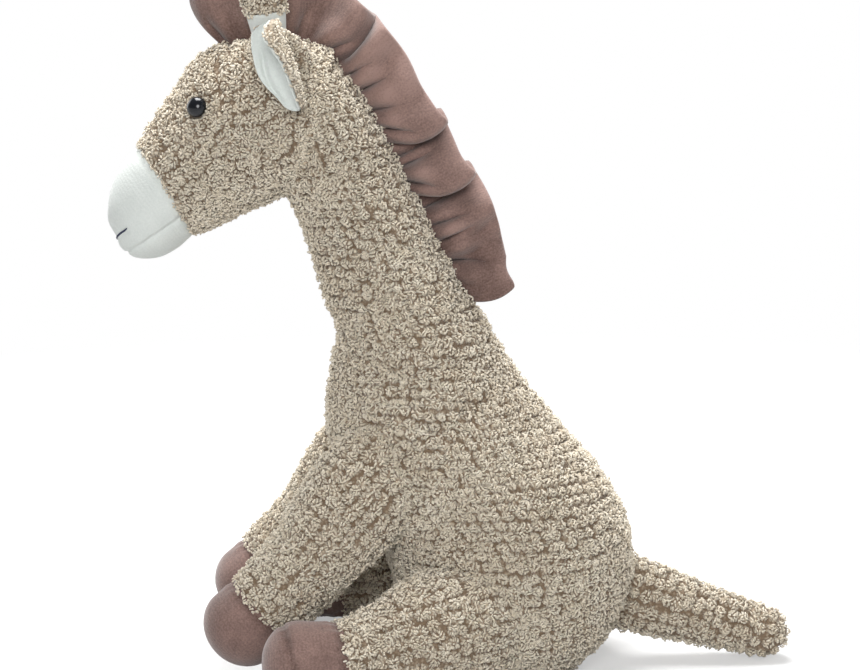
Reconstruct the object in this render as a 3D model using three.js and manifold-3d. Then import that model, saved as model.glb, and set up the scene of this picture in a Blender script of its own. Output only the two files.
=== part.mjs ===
// A seated plush giraffe, sewn from knitted sherpa panels over fibre stuffing, with velvet
// hooves, muzzle, ear linings and a gathered velvet mane. Millimetres, +Z up. The toy faces -X
// and its left side is -Y. The origin is the centre of the flat seat that it rests on.

import * as THREE from 'three';
import { mergeVertices } from 'three/addons/utils/BufferGeometryUtils.js';
import Module from 'manifold-3d';

const wasm = await Module();
wasm.setup();

// Cloth, walls and fits
const clearance = 0.3;
const sherpaWall = 3.0;
const velvetWall = 2.0;
const pileRise = 1.0;
const stuffingInset = sherpaWall + clearance;
const velvetInner = pileRise + velvetWall;
const smallest = 0.5;
const farAway = 1200;
const weld = 1e-3;
const leftSide = -1;
const rightSide = 1;

// Body and neck: each station runs from the front (chest and throat) to the back (spine),
// as [x, z], with the half width at that height
const bodyStations = [
  { front: [-38, 0], back: [40, 0], half: 42 },
  { front: [-46, 8], back: [48.5, 8], half: 50 },
  { front: [-52, 24], back: [60, 24], half: 58.5 },
  { front: [-57, 48], back: [67.5, 50], half: 62 },
  { front: [-68, 74], back: [63.5, 76], half: 60.5 },
  { front: [-80, 97], back: [51, 98], half: 57 },
  { front: [-87, 118], back: [34.5, 117], half: 52 },
  { front: [-87.5, 138], back: [17, 137.5], half: 47 },
  { front: [-85, 156], back: [4, 155], half: 43 },
  { front: [-84, 172], back: [-7, 174], half: 40 },
  { front: [-89.5, 192], back: [-19.5, 194], half: 37.5 },
  { front: [-96, 214], back: [-30.5, 215], half: 35.5 },
  { front: [-103, 233], back: [-41, 236], half: 34 },
  { front: [-113, 251], back: [-52, 258], half: 33.5 },
  { front: [-118, 272], back: [-61, 276], half: 34 },
  { front: [-120, 292], back: [-71, 292], half: 32 },
  { front: [-114, 306], back: [-82, 305], half: 25 },
];
const neckTopDome = 10;

// Head: each station runs from the crown to the jaw, back of the skull to the nose
const headStations = [
  { crown: [-82, 311], jaw: [-99, 240], half: 33 },
  { crown: [-93, 315], jaw: [-108, 239], half: 34.5 },
  { crown: [-106, 317.5], jaw: [-115, 235.5], half: 35.5 },
  { crown: [-121, 317], jaw: [-122, 232.5], half: 35.5 },
  { crown: [-137.5, 314.5], jaw: [-130, 229], half: 34.5 },
  { crown: [-150.5, 307], jaw: [-137, 225.5], half: 32.5 },
  { crown: [-160.5, 293], jaw: [-144, 222], half: 30 },
  { crown: [-171, 279], jaw: [-150, 218.5], half: 27.5 },
  { crown: [-181.5, 264], jaw: [-155, 214.5], half: 26 },
  { crown: [-190, 252], jaw: [-162, 209], half: 25 },
  { crown: [-195.5, 240], jaw: [-171, 206], half: 22 },
  { crown: [-197, 230], jaw: [-181, 206], half: 16.5 },
];
const noseDome = 6;
const headSeam = { top: [-96, 316], bottom: [-107, 239] };
const muzzleSeam = { top: [-182, 262], bottom: [-153.7, 219.9] };
const chinSeam = { back: [-150, 234.5], front: [-190, 207.5] };

// Neck hinge: the stuffed neck rolls on the rounded top of the body
const neckPivot = { x: -42, z: 150 };
const neckRoll = 43;
const neckLip = 160;
const neckNodForward = 12;
const neckNodBack = 8;

// Seat: an oval base panel, and the pellet bag that stands on it
const seatPanel = { x: 1, halfLength: 31, halfWidth: 33, thick: 3 };
const pelletBag = { x: 4, halfLength: 34, halfWidth: 38, height: 32, middle: 13.5 };
const chestGusset = { half: 20, top: neckLip };

// Front legs: spine stations, [x, y, z] on the right side, with the radius there
const frontLeg = {
  stations: [
    { at: [-46, 22, 120], tall: 24, wide: 18 },
    { at: [-69, 36, 95], tall: 28, wide: 22 },
    { at: [-97, 39, 60], tall: 23.5, wide: 22 },
    { at: [-119, 39.5, 37.5], tall: 21.5, wide: 21.5 },
    { at: [-128.5, 39.5, 28.5], tall: 21.5, wide: 21.5 },
  ],
  dome: 19,
  hoofStation: 3,
  hinge: [-91, 39, 113],
  lift: 25,
};

// Hind legs: they lie on the floor and splay outwards about the outer hip
const hindLeg = {
  stations: [
    { at: [18, 28, 36], tall: 30, wide: 22 },
    { at: [-31, 56, 31], tall: 31, wide: 26 },
    { at: [-60, 65, 23.5], tall: 23.5, wide: 22 },
    { at: [-80, 70, 20.5], tall: 20.5, wide: 20.5 },
    { at: [-99, 73, 20.8], tall: 20.8, wide: 20.8 },
  ],
  dome: 19,
  hoofStation: 3,
  hinge: [14, 60, 30],
  splay: 18,
};

// Tail: a flat paddle, each station from its upper to its lower edge
const tailStations = [
  { crown: [56, 58], jaw: [42, 16], half: 8 },
  { crown: [71, 53.5], jaw: [60, 14.5], half: 10.5 },
  { crown: [95, 43.5], jaw: [86, 9.5], half: 12 },
  { crown: [120, 33.5], jaw: [112, 4.5], half: 12 },
  { crown: [137, 27], jaw: [130, 1.5], half: 11 },
];
const tailDome = 14;
const tailHinge = [63, 0, 34];
const tailWag = 25;

// Ears: a leaf folded lengthwise, open towards the front, that droops from a gathered root.
// The root passes behind the horn, into the seam between head and neck
const ear = {
  top: [-109, 37, 325],
  tip: [-99, 43, 286],
  opening: [-0.85, 0.5, 0],
  halfWidth: 13.5,
  halfAngle: 1.4,
  endShare: 0.3,
  backThick: 2.6,
  liningThick: 1.4,
  fullest: 0.85,
  hinge: [-98, 25, 308],
  swing: 25,
};
const earRoot = {
  stations: [
    { at: [-108, 37.5, 320.5], tall: 4, wide: 3 },
    { at: [-103.5, 33, 318], tall: 4.5, wide: 3.5 },
    { at: [-99, 27, 311.5], tall: 5.5, wide: 4 },
    { at: [-97.5, 22, 303], tall: 6.5, wide: 4.5 },
  ],
  dome: 0,
};

// Horns: a velvet stem that flares upwards, with a sherpa knob
const horn = {
  stations: [
    { at: [-112, 21, 302], tall: 8.5, wide: 8.5 },
    { at: [-113, 22.5, 317], tall: 9, wide: 9 },
    { at: [-114.5, 23.5, 329], tall: 10.5, wide: 10 },
    { at: [-116, 24, 340], tall: 12, wide: 11.5 },
  ],
  dome: 11.5,
  knobFrom: [-115, 23.5, 330],
  knobTilt: 14,
};

// Eyes: a glossy dome on a post that passes the skin, held by a washer behind it
const eye = {
  behindNose: 47.5,
  aboveNose: 55.5,
  radius: 5.2,
  height: 4.4,
  postRadius: 1.6,
  washerRadius: 6,
  washerThick: 1.2,
  postPast: 3,
};
const eyePostLength = stuffingInset + eye.washerThick + eye.postPast;

// Mouth: one line of navy embroidery that wraps round the front of the muzzle
const mouth = { halfWidth: 15, aboveChin: 9.5, rise: 5.5, threadRadius: 0.6 };

// Mane: a double layer of velvet gathered into the seam over the head and down the neck
const mane = {
  firstHead: 4,
  lastBody: 9.65,
  sink: 3,
  height: 29,
  frontHeight: 24,
  lowerHeight: 23,
  thick: 3.2,
  folds: 9.5,
  sway: 6.6,
  uneven: 0.9,
  ruffle: 2.2,
  frontLean: 13,
  lowerLean: 12,
  endShare: 1 / 14,
  frontShare: 1 / 7,
  lowerShare: 1 / 6,
};

// Facets
const bodyRows = 18;
const bodyColumns = 20;
const headRows = 12;
const headColumns = 18;
const limbRows = 6;
const limbColumns = 12;
const hornColumns = 12;
const domeRows = 3;
const maneRows = 58;
const maneColumns = 3;
const earRows = 9;
const earColumns = 6;
const roundSegments = 14;
const rollSegments = 48;
const bagRows = 8;
const threadSteps = 8;
const threadSides = 4;
const hingeStep = 10;

// Colours of the cloths and of the eyes
const finish = {
  sherpa: { color: 0xb3a184, roughness: 0.95, metalness: 0 },
  velvet: { color: 0x8f6f66, roughness: 0.85, metalness: 0 },
  cream: { color: 0xe2e6e2, roughness: 0.85, metalness: 0 },
  fibre: { color: 0xf2f2ee, roughness: 1, metalness: 0 },
  bag: { color: 0xc9c6bd, roughness: 0.9, metalness: 0 },
  gloss: { color: 0x0b0c10, roughness: 0.12, metalness: 0 },
  washer: { color: 0xd9d9d6, roughness: 0.5, metalness: 0 },
  thread: { color: 0x1c2440, roughness: 0.8, metalness: 0 },
};

// Solids and meshes

function solidOf(geometry, reach = weld / 10) {
  const bare = geometry.clone();
  bare.deleteAttribute('normal');
  bare.deleteAttribute('uv');
  const merged = mergeVertices(bare, reach);
  return new wasm.Manifold(new wasm.Mesh({
    numProp: 3,
    vertProperties: new Float32Array(merged.attributes.position.array),
    triVerts: new Uint32Array(merged.index.array),
  }));
}

function geometryOf(solid) {
  const mesh = solid.getMesh();
  const geometry = new THREE.BufferGeometry();
  geometry.setAttribute('position', new THREE.BufferAttribute(new Float32Array(mesh.vertProperties), 3));
  geometry.setIndex(new THREE.BufferAttribute(new Uint32Array(mesh.triVerts), 1));
  geometry.computeVertexNormals();
  return geometry;
}

function indexedGeometry(points, triangles) {
  const geometry = new THREE.BufferGeometry();
  geometry.setAttribute('position', new THREE.Float32BufferAttribute(points.flatMap((p) => [p.x, p.y, p.z]), 3));
  geometry.setIndex(triangles);
  return geometry;
}

// Turns a closed surface the right way out when its volume comes out negative
function facingOut(points, triangles) {
  const cross = new THREE.Vector3();
  let volume = 0;
  for (let i = 0; i < triangles.length; i += 3) {
    const [a, b, c] = [points[triangles[i]], points[triangles[i + 1]], points[triangles[i + 2]]];
    volume += a.dot(cross.crossVectors(b, c));
  }
  if (volume > 0) return triangles;
  return triangles.map((_, i) => triangles[i - (i % 3) + (2 - (i % 3))]);
}

function movedSolid(geometry, matrix) {
  return solidOf(geometry.clone().applyMatrix4(matrix));
}

function halfSpace(point, normal) {
  const block = new THREE.BoxGeometry(farAway, farAway, farAway).translate(0, 0, farAway / 2);
  const turn = new THREE.Quaternion().setFromUnitVectors(new THREE.Vector3(0, 0, 1), normal.clone().normalize());
  return movedSolid(block, new THREE.Matrix4().compose(point, turn, new THREE.Vector3(1, 1, 1)));
}

// The space on one side of the line a-b in the side view, left of the way from a to b
function sideOfLine(a, b, gap = 0) {
  const normal = new THREE.Vector3(-(b[1] - a[1]), 0, b[0] - a[0]).normalize();
  const point = new THREE.Vector3(a[0], 0, a[1]).addScaledVector(normal, gap);
  return halfSpace(point, normal);
}

function above(height) {
  return halfSpace(new THREE.Vector3(0, 0, height), new THREE.Vector3(0, 0, 1));
}

function beside(distance, side) {
  return halfSpace(new THREE.Vector3(0, distance * side, 0), new THREE.Vector3(0, side, 0));
}

function turnedAbout(solid, origin, axis, degrees) {
  const matrix = new THREE.Matrix4().makeTranslation(...origin)
    .multiply(new THREE.Matrix4().makeRotationAxis(axis, THREE.MathUtils.degToRad(degrees)))
    .multiply(new THREE.Matrix4().makeTranslation(...origin.map((v) => -v)));
  return movedSolid(geometryOf(solid), matrix);
}

// Takes away from a piece all that its carrier reaches while the piece turns through its range
function clearedOf(piece, carrier, hinge, axis, from, to) {
  const steps = Math.max(1, Math.ceil((to - from) / hingeStep));
  let cleared = piece;
  for (let i = 0; i <= steps; i += 1) {
    const angle = from + ((to - from) * i) / steps;
    cleared = cleared.subtract(turnedAbout(carrier, hinge, axis, -angle));
  }
  return cleared;
}

function largestOf(solid) {
  return solid.decompose().reduce((a, b) => (a.volume() >= b.volume() ? a : b));
}

// The short edges that the cuts leave are closed up, and the crumbs they part are dropped
function settled(solid) {
  return largestOf(solidOf(geometryOf(largestOf(solid)), weld));
}

// Rings and lofts: a ring is its centre and its two half axes, and a form is a smooth skin
// over its rings, with a dome or a flat face at each end

function sagittalRing(upper, lower, half) {
  const a = new THREE.Vector3(upper[0], 0, upper[1]);
  const b = new THREE.Vector3(lower[0], 0, lower[1]);
  return {
    centre: a.clone().add(b).multiplyScalar(0.5),
    first: a.clone().sub(b).multiplyScalar(0.5),
    second: new THREE.Vector3(0, half, 0),
  };
}

function spineRings(stations, side) {
  const centres = stations.map(({ at }) => new THREE.Vector3(at[0], at[1] * side, at[2]));
  return stations.map(({ tall, wide }, i) => {
    const before = centres[Math.max(0, i - 1)];
    const after = centres[Math.min(centres.length - 1, i + 1)];
    const along = after.clone().sub(before).normalize();
    const across = new THREE.Vector3(0, 1, 0).addScaledVector(along, -along.y).normalize();
    const up = across.clone().cross(along).normalize();
    return {
      centre: centres[i],
      first: up.multiplyScalar(tall),
      second: across.multiplyScalar(wide),
    };
  });
}

function catmullRom(a, b, c, d, t) {
  return 0.5 * (2 * b + (c - a) * t + (2 * a - 5 * b + 4 * c - d) * t * t
    + (3 * b - a - 3 * c + d) * t * t * t);
}

// The ring at a place along the rings, counted in stations
function ringAt(rings, place) {
  const last = rings.length - 1;
  const i = Math.min(Math.floor(place), last - 1);
  const t = place - i;
  const near = [i - 1, i, i + 1, i + 2].map((k) => rings[Math.min(Math.max(k, 0), last)]);
  const mixed = (key) => new THREE.Vector3(
    catmullRom(...near.map((ring) => ring[key].x), t),
    catmullRom(...near.map((ring) => ring[key].y), t),
    catmullRom(...near.map((ring) => ring[key].z), t),
  );
  return { centre: mixed('centre'), first: mixed('first'), second: mixed('second') };
}

function insetRing(ring, inset) {
  const shorter = (v) => v.clone().setLength(Math.max(v.length() - inset, smallest));
  return { centre: ring.centre, first: shorter(ring.first), second: shorter(ring.second) };
}

function domeRings(end, outward, depth, rows) {
  const rings = [];
  for (let i = 1; i < rows; i += 1) {
    const angle = (Math.PI / 2) * (i / rows);
    rings.push({
      centre: end.centre.clone().addScaledVector(outward, depth * Math.sin(angle)),
      first: end.first.clone().multiplyScalar(Math.cos(angle)),
      second: end.second.clone().multiplyScalar(Math.cos(angle)),
    });
  }
  return rings;
}

// A copy of the first ring a little before it, so that a hollow runs out through the end
function startedEarlier(sections, distance) {
  const [start, next] = sections;
  const back = start.centre.clone().sub(next.centre).setLength(distance);
  return { ...start, centre: start.centre.clone().add(back) };
}

function loft(form, inset = 0) {
  const { rings, rows, columns, endDome } = form;
  const last = rings.length - 1;
  const sections = [];
  for (let i = 0; i <= rows; i += 1) {
    sections.push(insetRing(ringAt(rings, (last * i) / rows), inset));
  }
  if (inset !== 0) sections.unshift(startedEarlier(sections, Math.abs(inset)));
  const firstPole = sections[0].centre.clone();
  const end = sections[sections.length - 1];
  const outward = end.first.clone().cross(end.second).normalize();
  const onward = end.centre.clone().sub(sections[sections.length - 2].centre);
  if (outward.dot(onward) < 0) outward.negate();
  const depth = Math.max(endDome - inset, 0);
  const lastPole = end.centre.clone().addScaledVector(outward, depth);
  if (depth > 0) sections.push(...domeRings(end, outward, depth, domeRows));
  const points = [];
  sections.forEach((ring) => {
    for (let k = 0; k < columns; k += 1) {
      const angle = (2 * Math.PI * k) / columns;
      points.push(ring.centre.clone()
        .addScaledVector(ring.first, Math.cos(angle))
        .addScaledVector(ring.second, Math.sin(angle)));
    }
  });
  points.push(firstPole, lastPole);
  const triangles = [];
  const turn = (k) => (k + 1) % columns;
  for (let i = 0; i + 1 < sections.length; i += 1) {
    for (let k = 0; k < columns; k += 1) {
      const [a, b] = [i * columns + k, i * columns + turn(k)];
      triangles.push(a, b, b + columns, a, b + columns, a + columns);
    }
  }
  const top = (sections.length - 1) * columns;
  for (let k = 0; k < columns; k += 1) {
    triangles.push(points.length - 2, turn(k), k);
    triangles.push(points.length - 1, top + k, top + turn(k));
  }
  return solidOf(indexedGeometry(points, facingOut(points, triangles)));
}

// A closed sheet: pointAt gives the place at s along, t across and the face, 0 or 1
function sheetSolid(pointAt, rows, columns) {
  const points = [];
  const triangles = [];
  const spot = (face, i, k) => face * (rows + 1) * (columns + 1) + i * (columns + 1) + k;
  const quad = (a, b, c, d) => triangles.push(a, b, c, a, c, d);
  for (let face = 0; face < 2; face += 1) {
    for (let i = 0; i <= rows; i += 1) {
      for (let k = 0; k <= columns; k += 1) {
        points.push(pointAt(i / rows, k / columns, face));
      }
    }
  }
  for (let i = 0; i < rows; i += 1) {
    for (let k = 0; k < columns; k += 1) {
      quad(spot(0, i, k), spot(0, i, k + 1), spot(0, i + 1, k + 1), spot(0, i + 1, k));
      quad(spot(1, i, k), spot(1, i + 1, k), spot(1, i + 1, k + 1), spot(1, i, k + 1));
    }
    quad(spot(0, i, 0), spot(0, i + 1, 0), spot(1, i + 1, 0), spot(1, i, 0));
    quad(spot(0, i + 1, columns), spot(0, i, columns), spot(1, i, columns), spot(1, i + 1, columns));
  }
  for (let k = 0; k < columns; k += 1) {
    quad(spot(0, 0, k + 1), spot(0, 0, k), spot(1, 0, k), spot(1, 0, k + 1));
    quad(spot(0, rows, k), spot(0, rows, k + 1), spot(1, rows, k + 1), spot(1, rows, k));
  }
  return solidOf(indexedGeometry(points, facingOut(points, triangles)));
}

// Forms of the stuffed parts
const bodyForm = {
  rings: bodyStations.map(({ front, back, half }) => sagittalRing(front, back, half)),
  rows: bodyRows,
  columns: bodyColumns,
  endDome: neckTopDome,
};
const headForm = {
  rings: headStations.map(({ crown, jaw, half }) => sagittalRing(crown, jaw, half)),
  rows: headRows,
  columns: headColumns,
  endDome: noseDome,
};
const tailForm = {
  rings: tailStations.map(({ crown, jaw, half }) => sagittalRing(crown, jaw, half)),
  rows: limbRows,
  columns: limbColumns,
  endDome: tailDome,
};

function limbForm(limb, side, columns = limbColumns) {
  return {
    rings: spineRings(limb.stations, side),
    rows: limbRows,
    columns,
    endDome: limb.dome,
  };
}

// Hinge axes: a positive angle nods the neck forwards, lifts or splays a leg, swings an ear
// back, and swings the tail
const lateral = new THREE.Vector3(0, 1, 0);
const vertical = new THREE.Vector3(0, 0, 1);
const tailAxis = new THREE.Vector3(
  tailStations[1].crown[0] - tailStations[1].jaw[0],
  0,
  tailStations[1].crown[1] - tailStations[1].jaw[1],
).normalize();

// Body and neck share one form, parted where the neck rolls on the body
const bodyOuter = loft(bodyForm);
const bodyLining = loft(bodyForm, sherpaWall);
const bodyCore = loft(bodyForm, stuffingInset);
const bodyReach = loft(bodyForm, -clearance);
const headOuter = loft(headForm);
const headLining = loft(headForm, sherpaWall);
const headCore = loft(headForm, stuffingInset);
const headReach = loft(headForm, -clearance);
const muzzleOuter = loft(headForm, pileRise);
const muzzleLining = loft(headForm, velvetInner);

function rollCylinder(radius) {
  return solidOf(new THREE.CylinderGeometry(radius, radius, farAway / 2, rollSegments)
    .translate(neckPivot.x, 0, neckPivot.z));
}

const behindHeadSeam = sideOfLine(headSeam.top, headSeam.bottom, clearance);
const inFrontOfHeadSeam = sideOfLine(headSeam.bottom, headSeam.top);
const aboveLip = above(neckLip + clearance);
const rollSpace = rollCylinder(neckRoll + clearance);
const rollTop = rollCylinder(neckRoll);

function neckPartOf(solid) {
  return solid.intersect(aboveLip).subtract(rollSpace).intersect(behindHeadSeam);
}

const pivotPoint = [neckPivot.x, 0, neckPivot.z];
const forwardAxis = lateral.clone().negate();

// All that the low end of the neck reaches while it nods. Its hollow is a little tighter than
// the neck's own, because the facets of the roll turn with the neck
function neckSweep() {
  const low = bodyReach
    .intersect(above(neckLip))
    .subtract(rollCylinder(neckRoll + clearance / 3))
    .intersect(behindHeadSeam)
    .subtract(above(neckLip + neckRoll));
  const angles = [];
  for (let a = -neckNodBack; a <= neckNodForward; a += hingeStep / 2) angles.push(a);
  return angles.map((a) => turnedAbout(low, pivotPoint, forwardAxis, a))
    .reduce((a, b) => a.add(b));
}

const neckSwept = neckSweep();

function torsoPartOf(solid) {
  return solid.subtract(above(neckLip)).add(solid.intersect(rollTop)).subtract(neckSwept);
}

// Parts

const giraffe = new THREE.Group();

function addPiece(name, solid, look) {
  const mesh = new THREE.Mesh(geometryOf(settled(solid)), new THREE.MeshStandardMaterial(look));
  mesh.name = name;
  giraffe.add(mesh);
}

function ovalPrism(x, halfLength, halfWidth, low, high) {
  return solidOf(new THREE.CylinderGeometry(1, 1, high - low, 2 * roundSegments)
    .rotateX(Math.PI / 2).scale(halfLength, halfWidth, 1).translate(x, 0, (low + high) / 2));
}

function buildTorso() {
  const opening = ovalPrism(
    seatPanel.x,
    seatPanel.halfLength + clearance,
    seatPanel.halfWidth + clearance,
    -sherpaWall,
    2 * sherpaWall,
  );
  const shell = bodyOuter.subtract(bodyLining.intersect(above(sherpaWall)));
  const skin = torsoPartOf(shell).subtract(opening);
  const gussetSpace = beside(-chestGusset.half, leftSide)
    .intersect(beside(-chestGusset.half, rightSide))
    .intersect(sideOfLine([bodyStations[0].front[0], 0], [neckPivot.x, chestGusset.top]));
  const gussetGap = beside(-chestGusset.half - clearance, leftSide)
    .intersect(beside(-chestGusset.half - clearance, rightSide))
    .intersect(sideOfLine([bodyStations[0].front[0], 0], [neckPivot.x, chestGusset.top], -clearance));
  addPiece('chest_gusset', skin.intersect(gussetSpace), finish.sherpa);
  [['left', leftSide], ['right', rightSide]].forEach(([word, side]) => {
    addPiece(`body_panel_${word}`, skin.subtract(gussetGap).intersect(beside(clearance / 2, side)), finish.sherpa);
  });
  addPiece('seat_panel', ovalPrism(
    seatPanel.x,
    seatPanel.halfLength,
    seatPanel.halfWidth,
    0,
    seatPanel.thick,
  ), finish.sherpa);
}

function bagSolid(grow) {
  const height = pelletBag.height + 2 * grow;
  return solidOf(new THREE.SphereGeometry(1, roundSegments, bagRows)
    .rotateX(Math.PI / 2)
    .scale(pelletBag.halfLength + grow, pelletBag.halfWidth + grow, height / 2)
    .translate(pelletBag.x, 0, seatPanel.thick + pelletBag.middle));
}

function buildTorsoFilling() {
  const floor = seatPanel.thick + clearance;
  const bag = bagSolid(0).intersect(above(floor));
  const well = bagSolid(clearance);
  const core = torsoPartOf(bodyCore).intersect(above(floor));
  addPiece('pellet_bag', bag, finish.bag);
  addPiece('body_stuffing', core.subtract(well), finish.fibre);
}

function buildNeck() {
  const skin = neckPartOf(bodyOuter.subtract(bodyLining));
  [['left', leftSide], ['right', rightSide]].forEach(([word, side]) => {
    addPiece(`neck_panel_${word}`, skin.intersect(beside(clearance / 2, side)), finish.sherpa);
  });
  addPiece('neck_stuffing', neckPartOf(bodyCore), finish.fibre);
}

// Where a straight line first meets a solid
function firstHit(solid, from, direction) {
  const target = new THREE.Mesh(geometryOf(solid), new THREE.MeshBasicMaterial());
  target.updateMatrixWorld();
  return new THREE.Raycaster(from, direction.clone().normalize()).intersectObject(target)[0];
}

function eyeSeat(side) {
  const nose = headStations[headStations.length - 1].crown;
  const from = new THREE.Vector3(nose[0] + eye.behindNose, farAway * side, nose[1] + eye.aboveNose);
  const hit = firstHit(headOuter, from, new THREE.Vector3(0, -side, 0));
  const turn = new THREE.Quaternion().setFromUnitVectors(lateral, hit.face.normal);
  return new THREE.Matrix4().compose(hit.point, turn, new THREE.Vector3(1, 1, 1));
}

function turnedProfile(points, segments) {
  return new THREE.LatheGeometry(points.map(([r, y]) => new THREE.Vector2(r, y)), segments);
}

function eyeDome() {
  const rim = [];
  for (let i = 0; i < domeRows; i += 1) {
    const angle = (Math.PI / 2) * (i / domeRows);
    rim.push([eye.radius * Math.cos(angle), clearance + eye.height * Math.sin(angle)]);
  }
  rim.push([0, clearance + eye.height]);
  return turnedProfile(
    [[0, -eyePostLength], [eye.postRadius, -eyePostLength], [eye.postRadius, clearance], ...rim],
    roundSegments,
  );
}

function eyeWasher() {
  const inner = eye.postRadius + clearance;
  const front = -stuffingInset;
  const back = front - eye.washerThick;
  return turnedProfile(
    [[inner, front], [inner, back], [eye.washerRadius, back], [eye.washerRadius, front], [inner, front]],
    roundSegments,
  );
}

function eyePocket() {
  const hole = eye.postRadius + clearance;
  const wide = eye.washerRadius + clearance;
  const step = -stuffingInset - eye.washerThick - clearance;
  const deep = -eyePostLength - clearance;
  return turnedProfile(
    [[0, deep], [hole, deep], [hole, step], [wide, step], [wide, -sherpaWall], [hole, -sherpaWall],
      [hole, sherpaWall], [0, sherpaWall]],
    roundSegments,
  );
}

function buildHead() {
  const behindMuzzle = sideOfLine(muzzleSeam.top, muzzleSeam.bottom);
  const inMuzzle = sideOfLine(muzzleSeam.bottom, muzzleSeam.top, clearance);
  let skin = headOuter.subtract(headLining).intersect(inFrontOfHeadSeam).intersect(behindMuzzle);
  let core = headCore.intersect(inFrontOfHeadSeam);
  [['left', leftSide], ['right', rightSide]].forEach(([word, side]) => {
    const seat = eyeSeat(side);
    const pocket = movedSolid(eyePocket(), seat);
    skin = skin.subtract(pocket);
    core = core.subtract(pocket);
    addPiece(`eye_${word}`, movedSolid(eyeDome(), seat), finish.gloss);
    addPiece(`eye_washer_${word}`, movedSolid(eyeWasher(), seat), finish.washer);
  });
  [['left', leftSide], ['right', rightSide]].forEach(([word, side]) => {
    addPiece(`head_panel_${word}`, skin.intersect(beside(clearance / 2, side)), finish.sherpa);
  });
  addPiece('head_stuffing', core, finish.fibre);
  const muzzle = muzzleOuter.subtract(muzzleLining).intersect(inMuzzle);
  const thread = mouthThread(mouth.threadRadius);
  const groove = mouthThread(mouth.threadRadius + clearance);
  const overChin = sideOfLine(chinSeam.front, chinSeam.back);
  const underChin = sideOfLine(chinSeam.back, chinSeam.front, clearance);
  addPiece('muzzle', muzzle.intersect(overChin).subtract(groove), finish.cream);
  addPiece('chin', muzzle.intersect(underChin).subtract(groove), finish.cream);
  addPiece('mouth_stitch', thread, finish.thread);
}

function mouthThread(radius) {
  const path = [];
  for (let i = 0; i <= threadSteps; i += 1) {
    const share = (2 * i) / threadSteps - 1;
    const y = mouth.halfWidth * share;
    const z = chinSeam.front[1] + mouth.aboveChin + mouth.rise * share * share;
    const from = new THREE.Vector3(-farAway, y, z);
    path.push(firstHit(muzzleOuter, from, new THREE.Vector3(1, 0, 0)).point);
  }
  const round = new THREE.Shape();
  round.absarc(0, 0, radius, 0, 2 * Math.PI);
  return solidOf(new THREE.ExtrudeGeometry(round, {
    steps: 2 * threadSteps,
    curveSegments: threadSides,
    extrudePath: new THREE.CatmullRomCurve3(path),
  }));
}

// A stuffed limb: a sherpa sleeve, a velvet hoof sewn to it and one filling through both
function buildLimb(name, limb, side, axis, angle) {
  const form = limbForm(limb, side);
  const hinge = [limb.hinge[0], limb.hinge[1] * side, limb.hinge[2]];
  const [before, seam, after] = [-1, 0, 1].map((step) => form.rings[limb.hoofStation + step].centre);
  const onward = after.clone().sub(before).normalize();
  const hoofSpace = halfSpace(seam.clone().addScaledVector(onward, clearance), onward);
  const sleeveSpace = halfSpace(seam, onward.clone().negate());
  const clear = (solid) => clearedOf(solid, bodyReach, hinge, axis, 0, angle);
  const floor = above(0);
  const lining = above(sherpaWall);
  const sleeve = loft(form).intersect(floor).subtract(loft(form, sherpaWall).intersect(lining));
  const hoof = loft(form, pileRise).intersect(floor).subtract(loft(form, velvetInner).intersect(lining));
  const filling = loft(form, stuffingInset).intersect(above(stuffingInset));
  addPiece(`${name}_skin`, clear(sleeve.intersect(sleeveSpace)), finish.sherpa);
  addPiece(`${name.replace('leg', 'hoof')}`, hoof.intersect(hoofSpace), finish.velvet);
  addPiece(`${name}_stuffing`, clear(filling), finish.fibre);
}

function buildLegs() {
  [['left', leftSide], ['right', rightSide]].forEach(([word, side]) => {
    buildLimb(`front_leg_${word}`, frontLeg, side, lateral, frontLeg.lift);
    const outward = vertical.clone().multiplyScalar(-side);
    buildLimb(`hind_leg_${word}`, hindLeg, side, outward, hindLeg.splay);
  });
}

function buildTail() {
  const clear = (solid) => clearedOf(solid, bodyReach, tailHinge, tailAxis, -tailWag, tailWag);
  const skin = loft(tailForm).subtract(loft(tailForm, sherpaWall));
  addPiece('tail_skin', clear(skin), finish.sherpa);
  addPiece('tail_stuffing', clear(loft(tailForm, stuffingInset)), finish.fibre);
}

function earLayer(side, inner, outer) {
  const place = ([x, y, z]) => new THREE.Vector3(x, y * side, z);
  const top = place(ear.top);
  const along = place(ear.tip).sub(top);
  const length = along.length();
  along.normalize();
  const open = place(ear.opening);
  open.addScaledVector(along, -open.dot(along)).normalize();
  const across = along.clone().cross(open).multiplyScalar(side);
  return sheetSolid((s, t, face) => {
    const share = ear.endShare + (1 - ear.endShare) * Math.sin(Math.PI * s ** ear.fullest);
    const bend = ear.halfWidth * share;
    const angle = ear.halfAngle * (2 * t - 1);
    const radius = bend + (face === 0 ? inner : outer);
    return top.clone()
      .addScaledVector(along, length * s)
      .addScaledVector(open, bend - radius * Math.cos(angle))
      .addScaledVector(across, radius * Math.sin(angle));
  }, earRows, earColumns);
}

function buildEars() {
  [['left', leftSide], ['right', rightSide]].forEach(([word, side]) => {
    const hinge = [ear.hinge[0], ear.hinge[1] * side, ear.hinge[2]];
    const axis = vertical.clone().multiplyScalar(-side);
    const carriers = [headReach, bodyReach, hornSolid(side, -clearance)];
    const clear = (solid) => carriers.reduce(
      (piece, carrier) => clearedOf(piece, carrier, hinge, axis, 0, ear.swing),
      solid,
    );
    const hollow = earLayer(side, -ear.halfWidth * ear.endShare, clearance / 2);
    const root = loft(limbForm(earRoot, side)).subtract(hollow);
    const back = earLayer(side, clearance / 2, ear.backThick).add(root);
    addPiece(`ear_back_${word}`, clear(back), finish.sherpa);
    addPiece(`ear_lining_${word}`, clear(earLayer(side, -ear.liningThick, -clearance / 2)), finish.cream);
  });
}

function hornSolid(side, inset) {
  return loft(limbForm(horn, side, hornColumns), inset);
}

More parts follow.
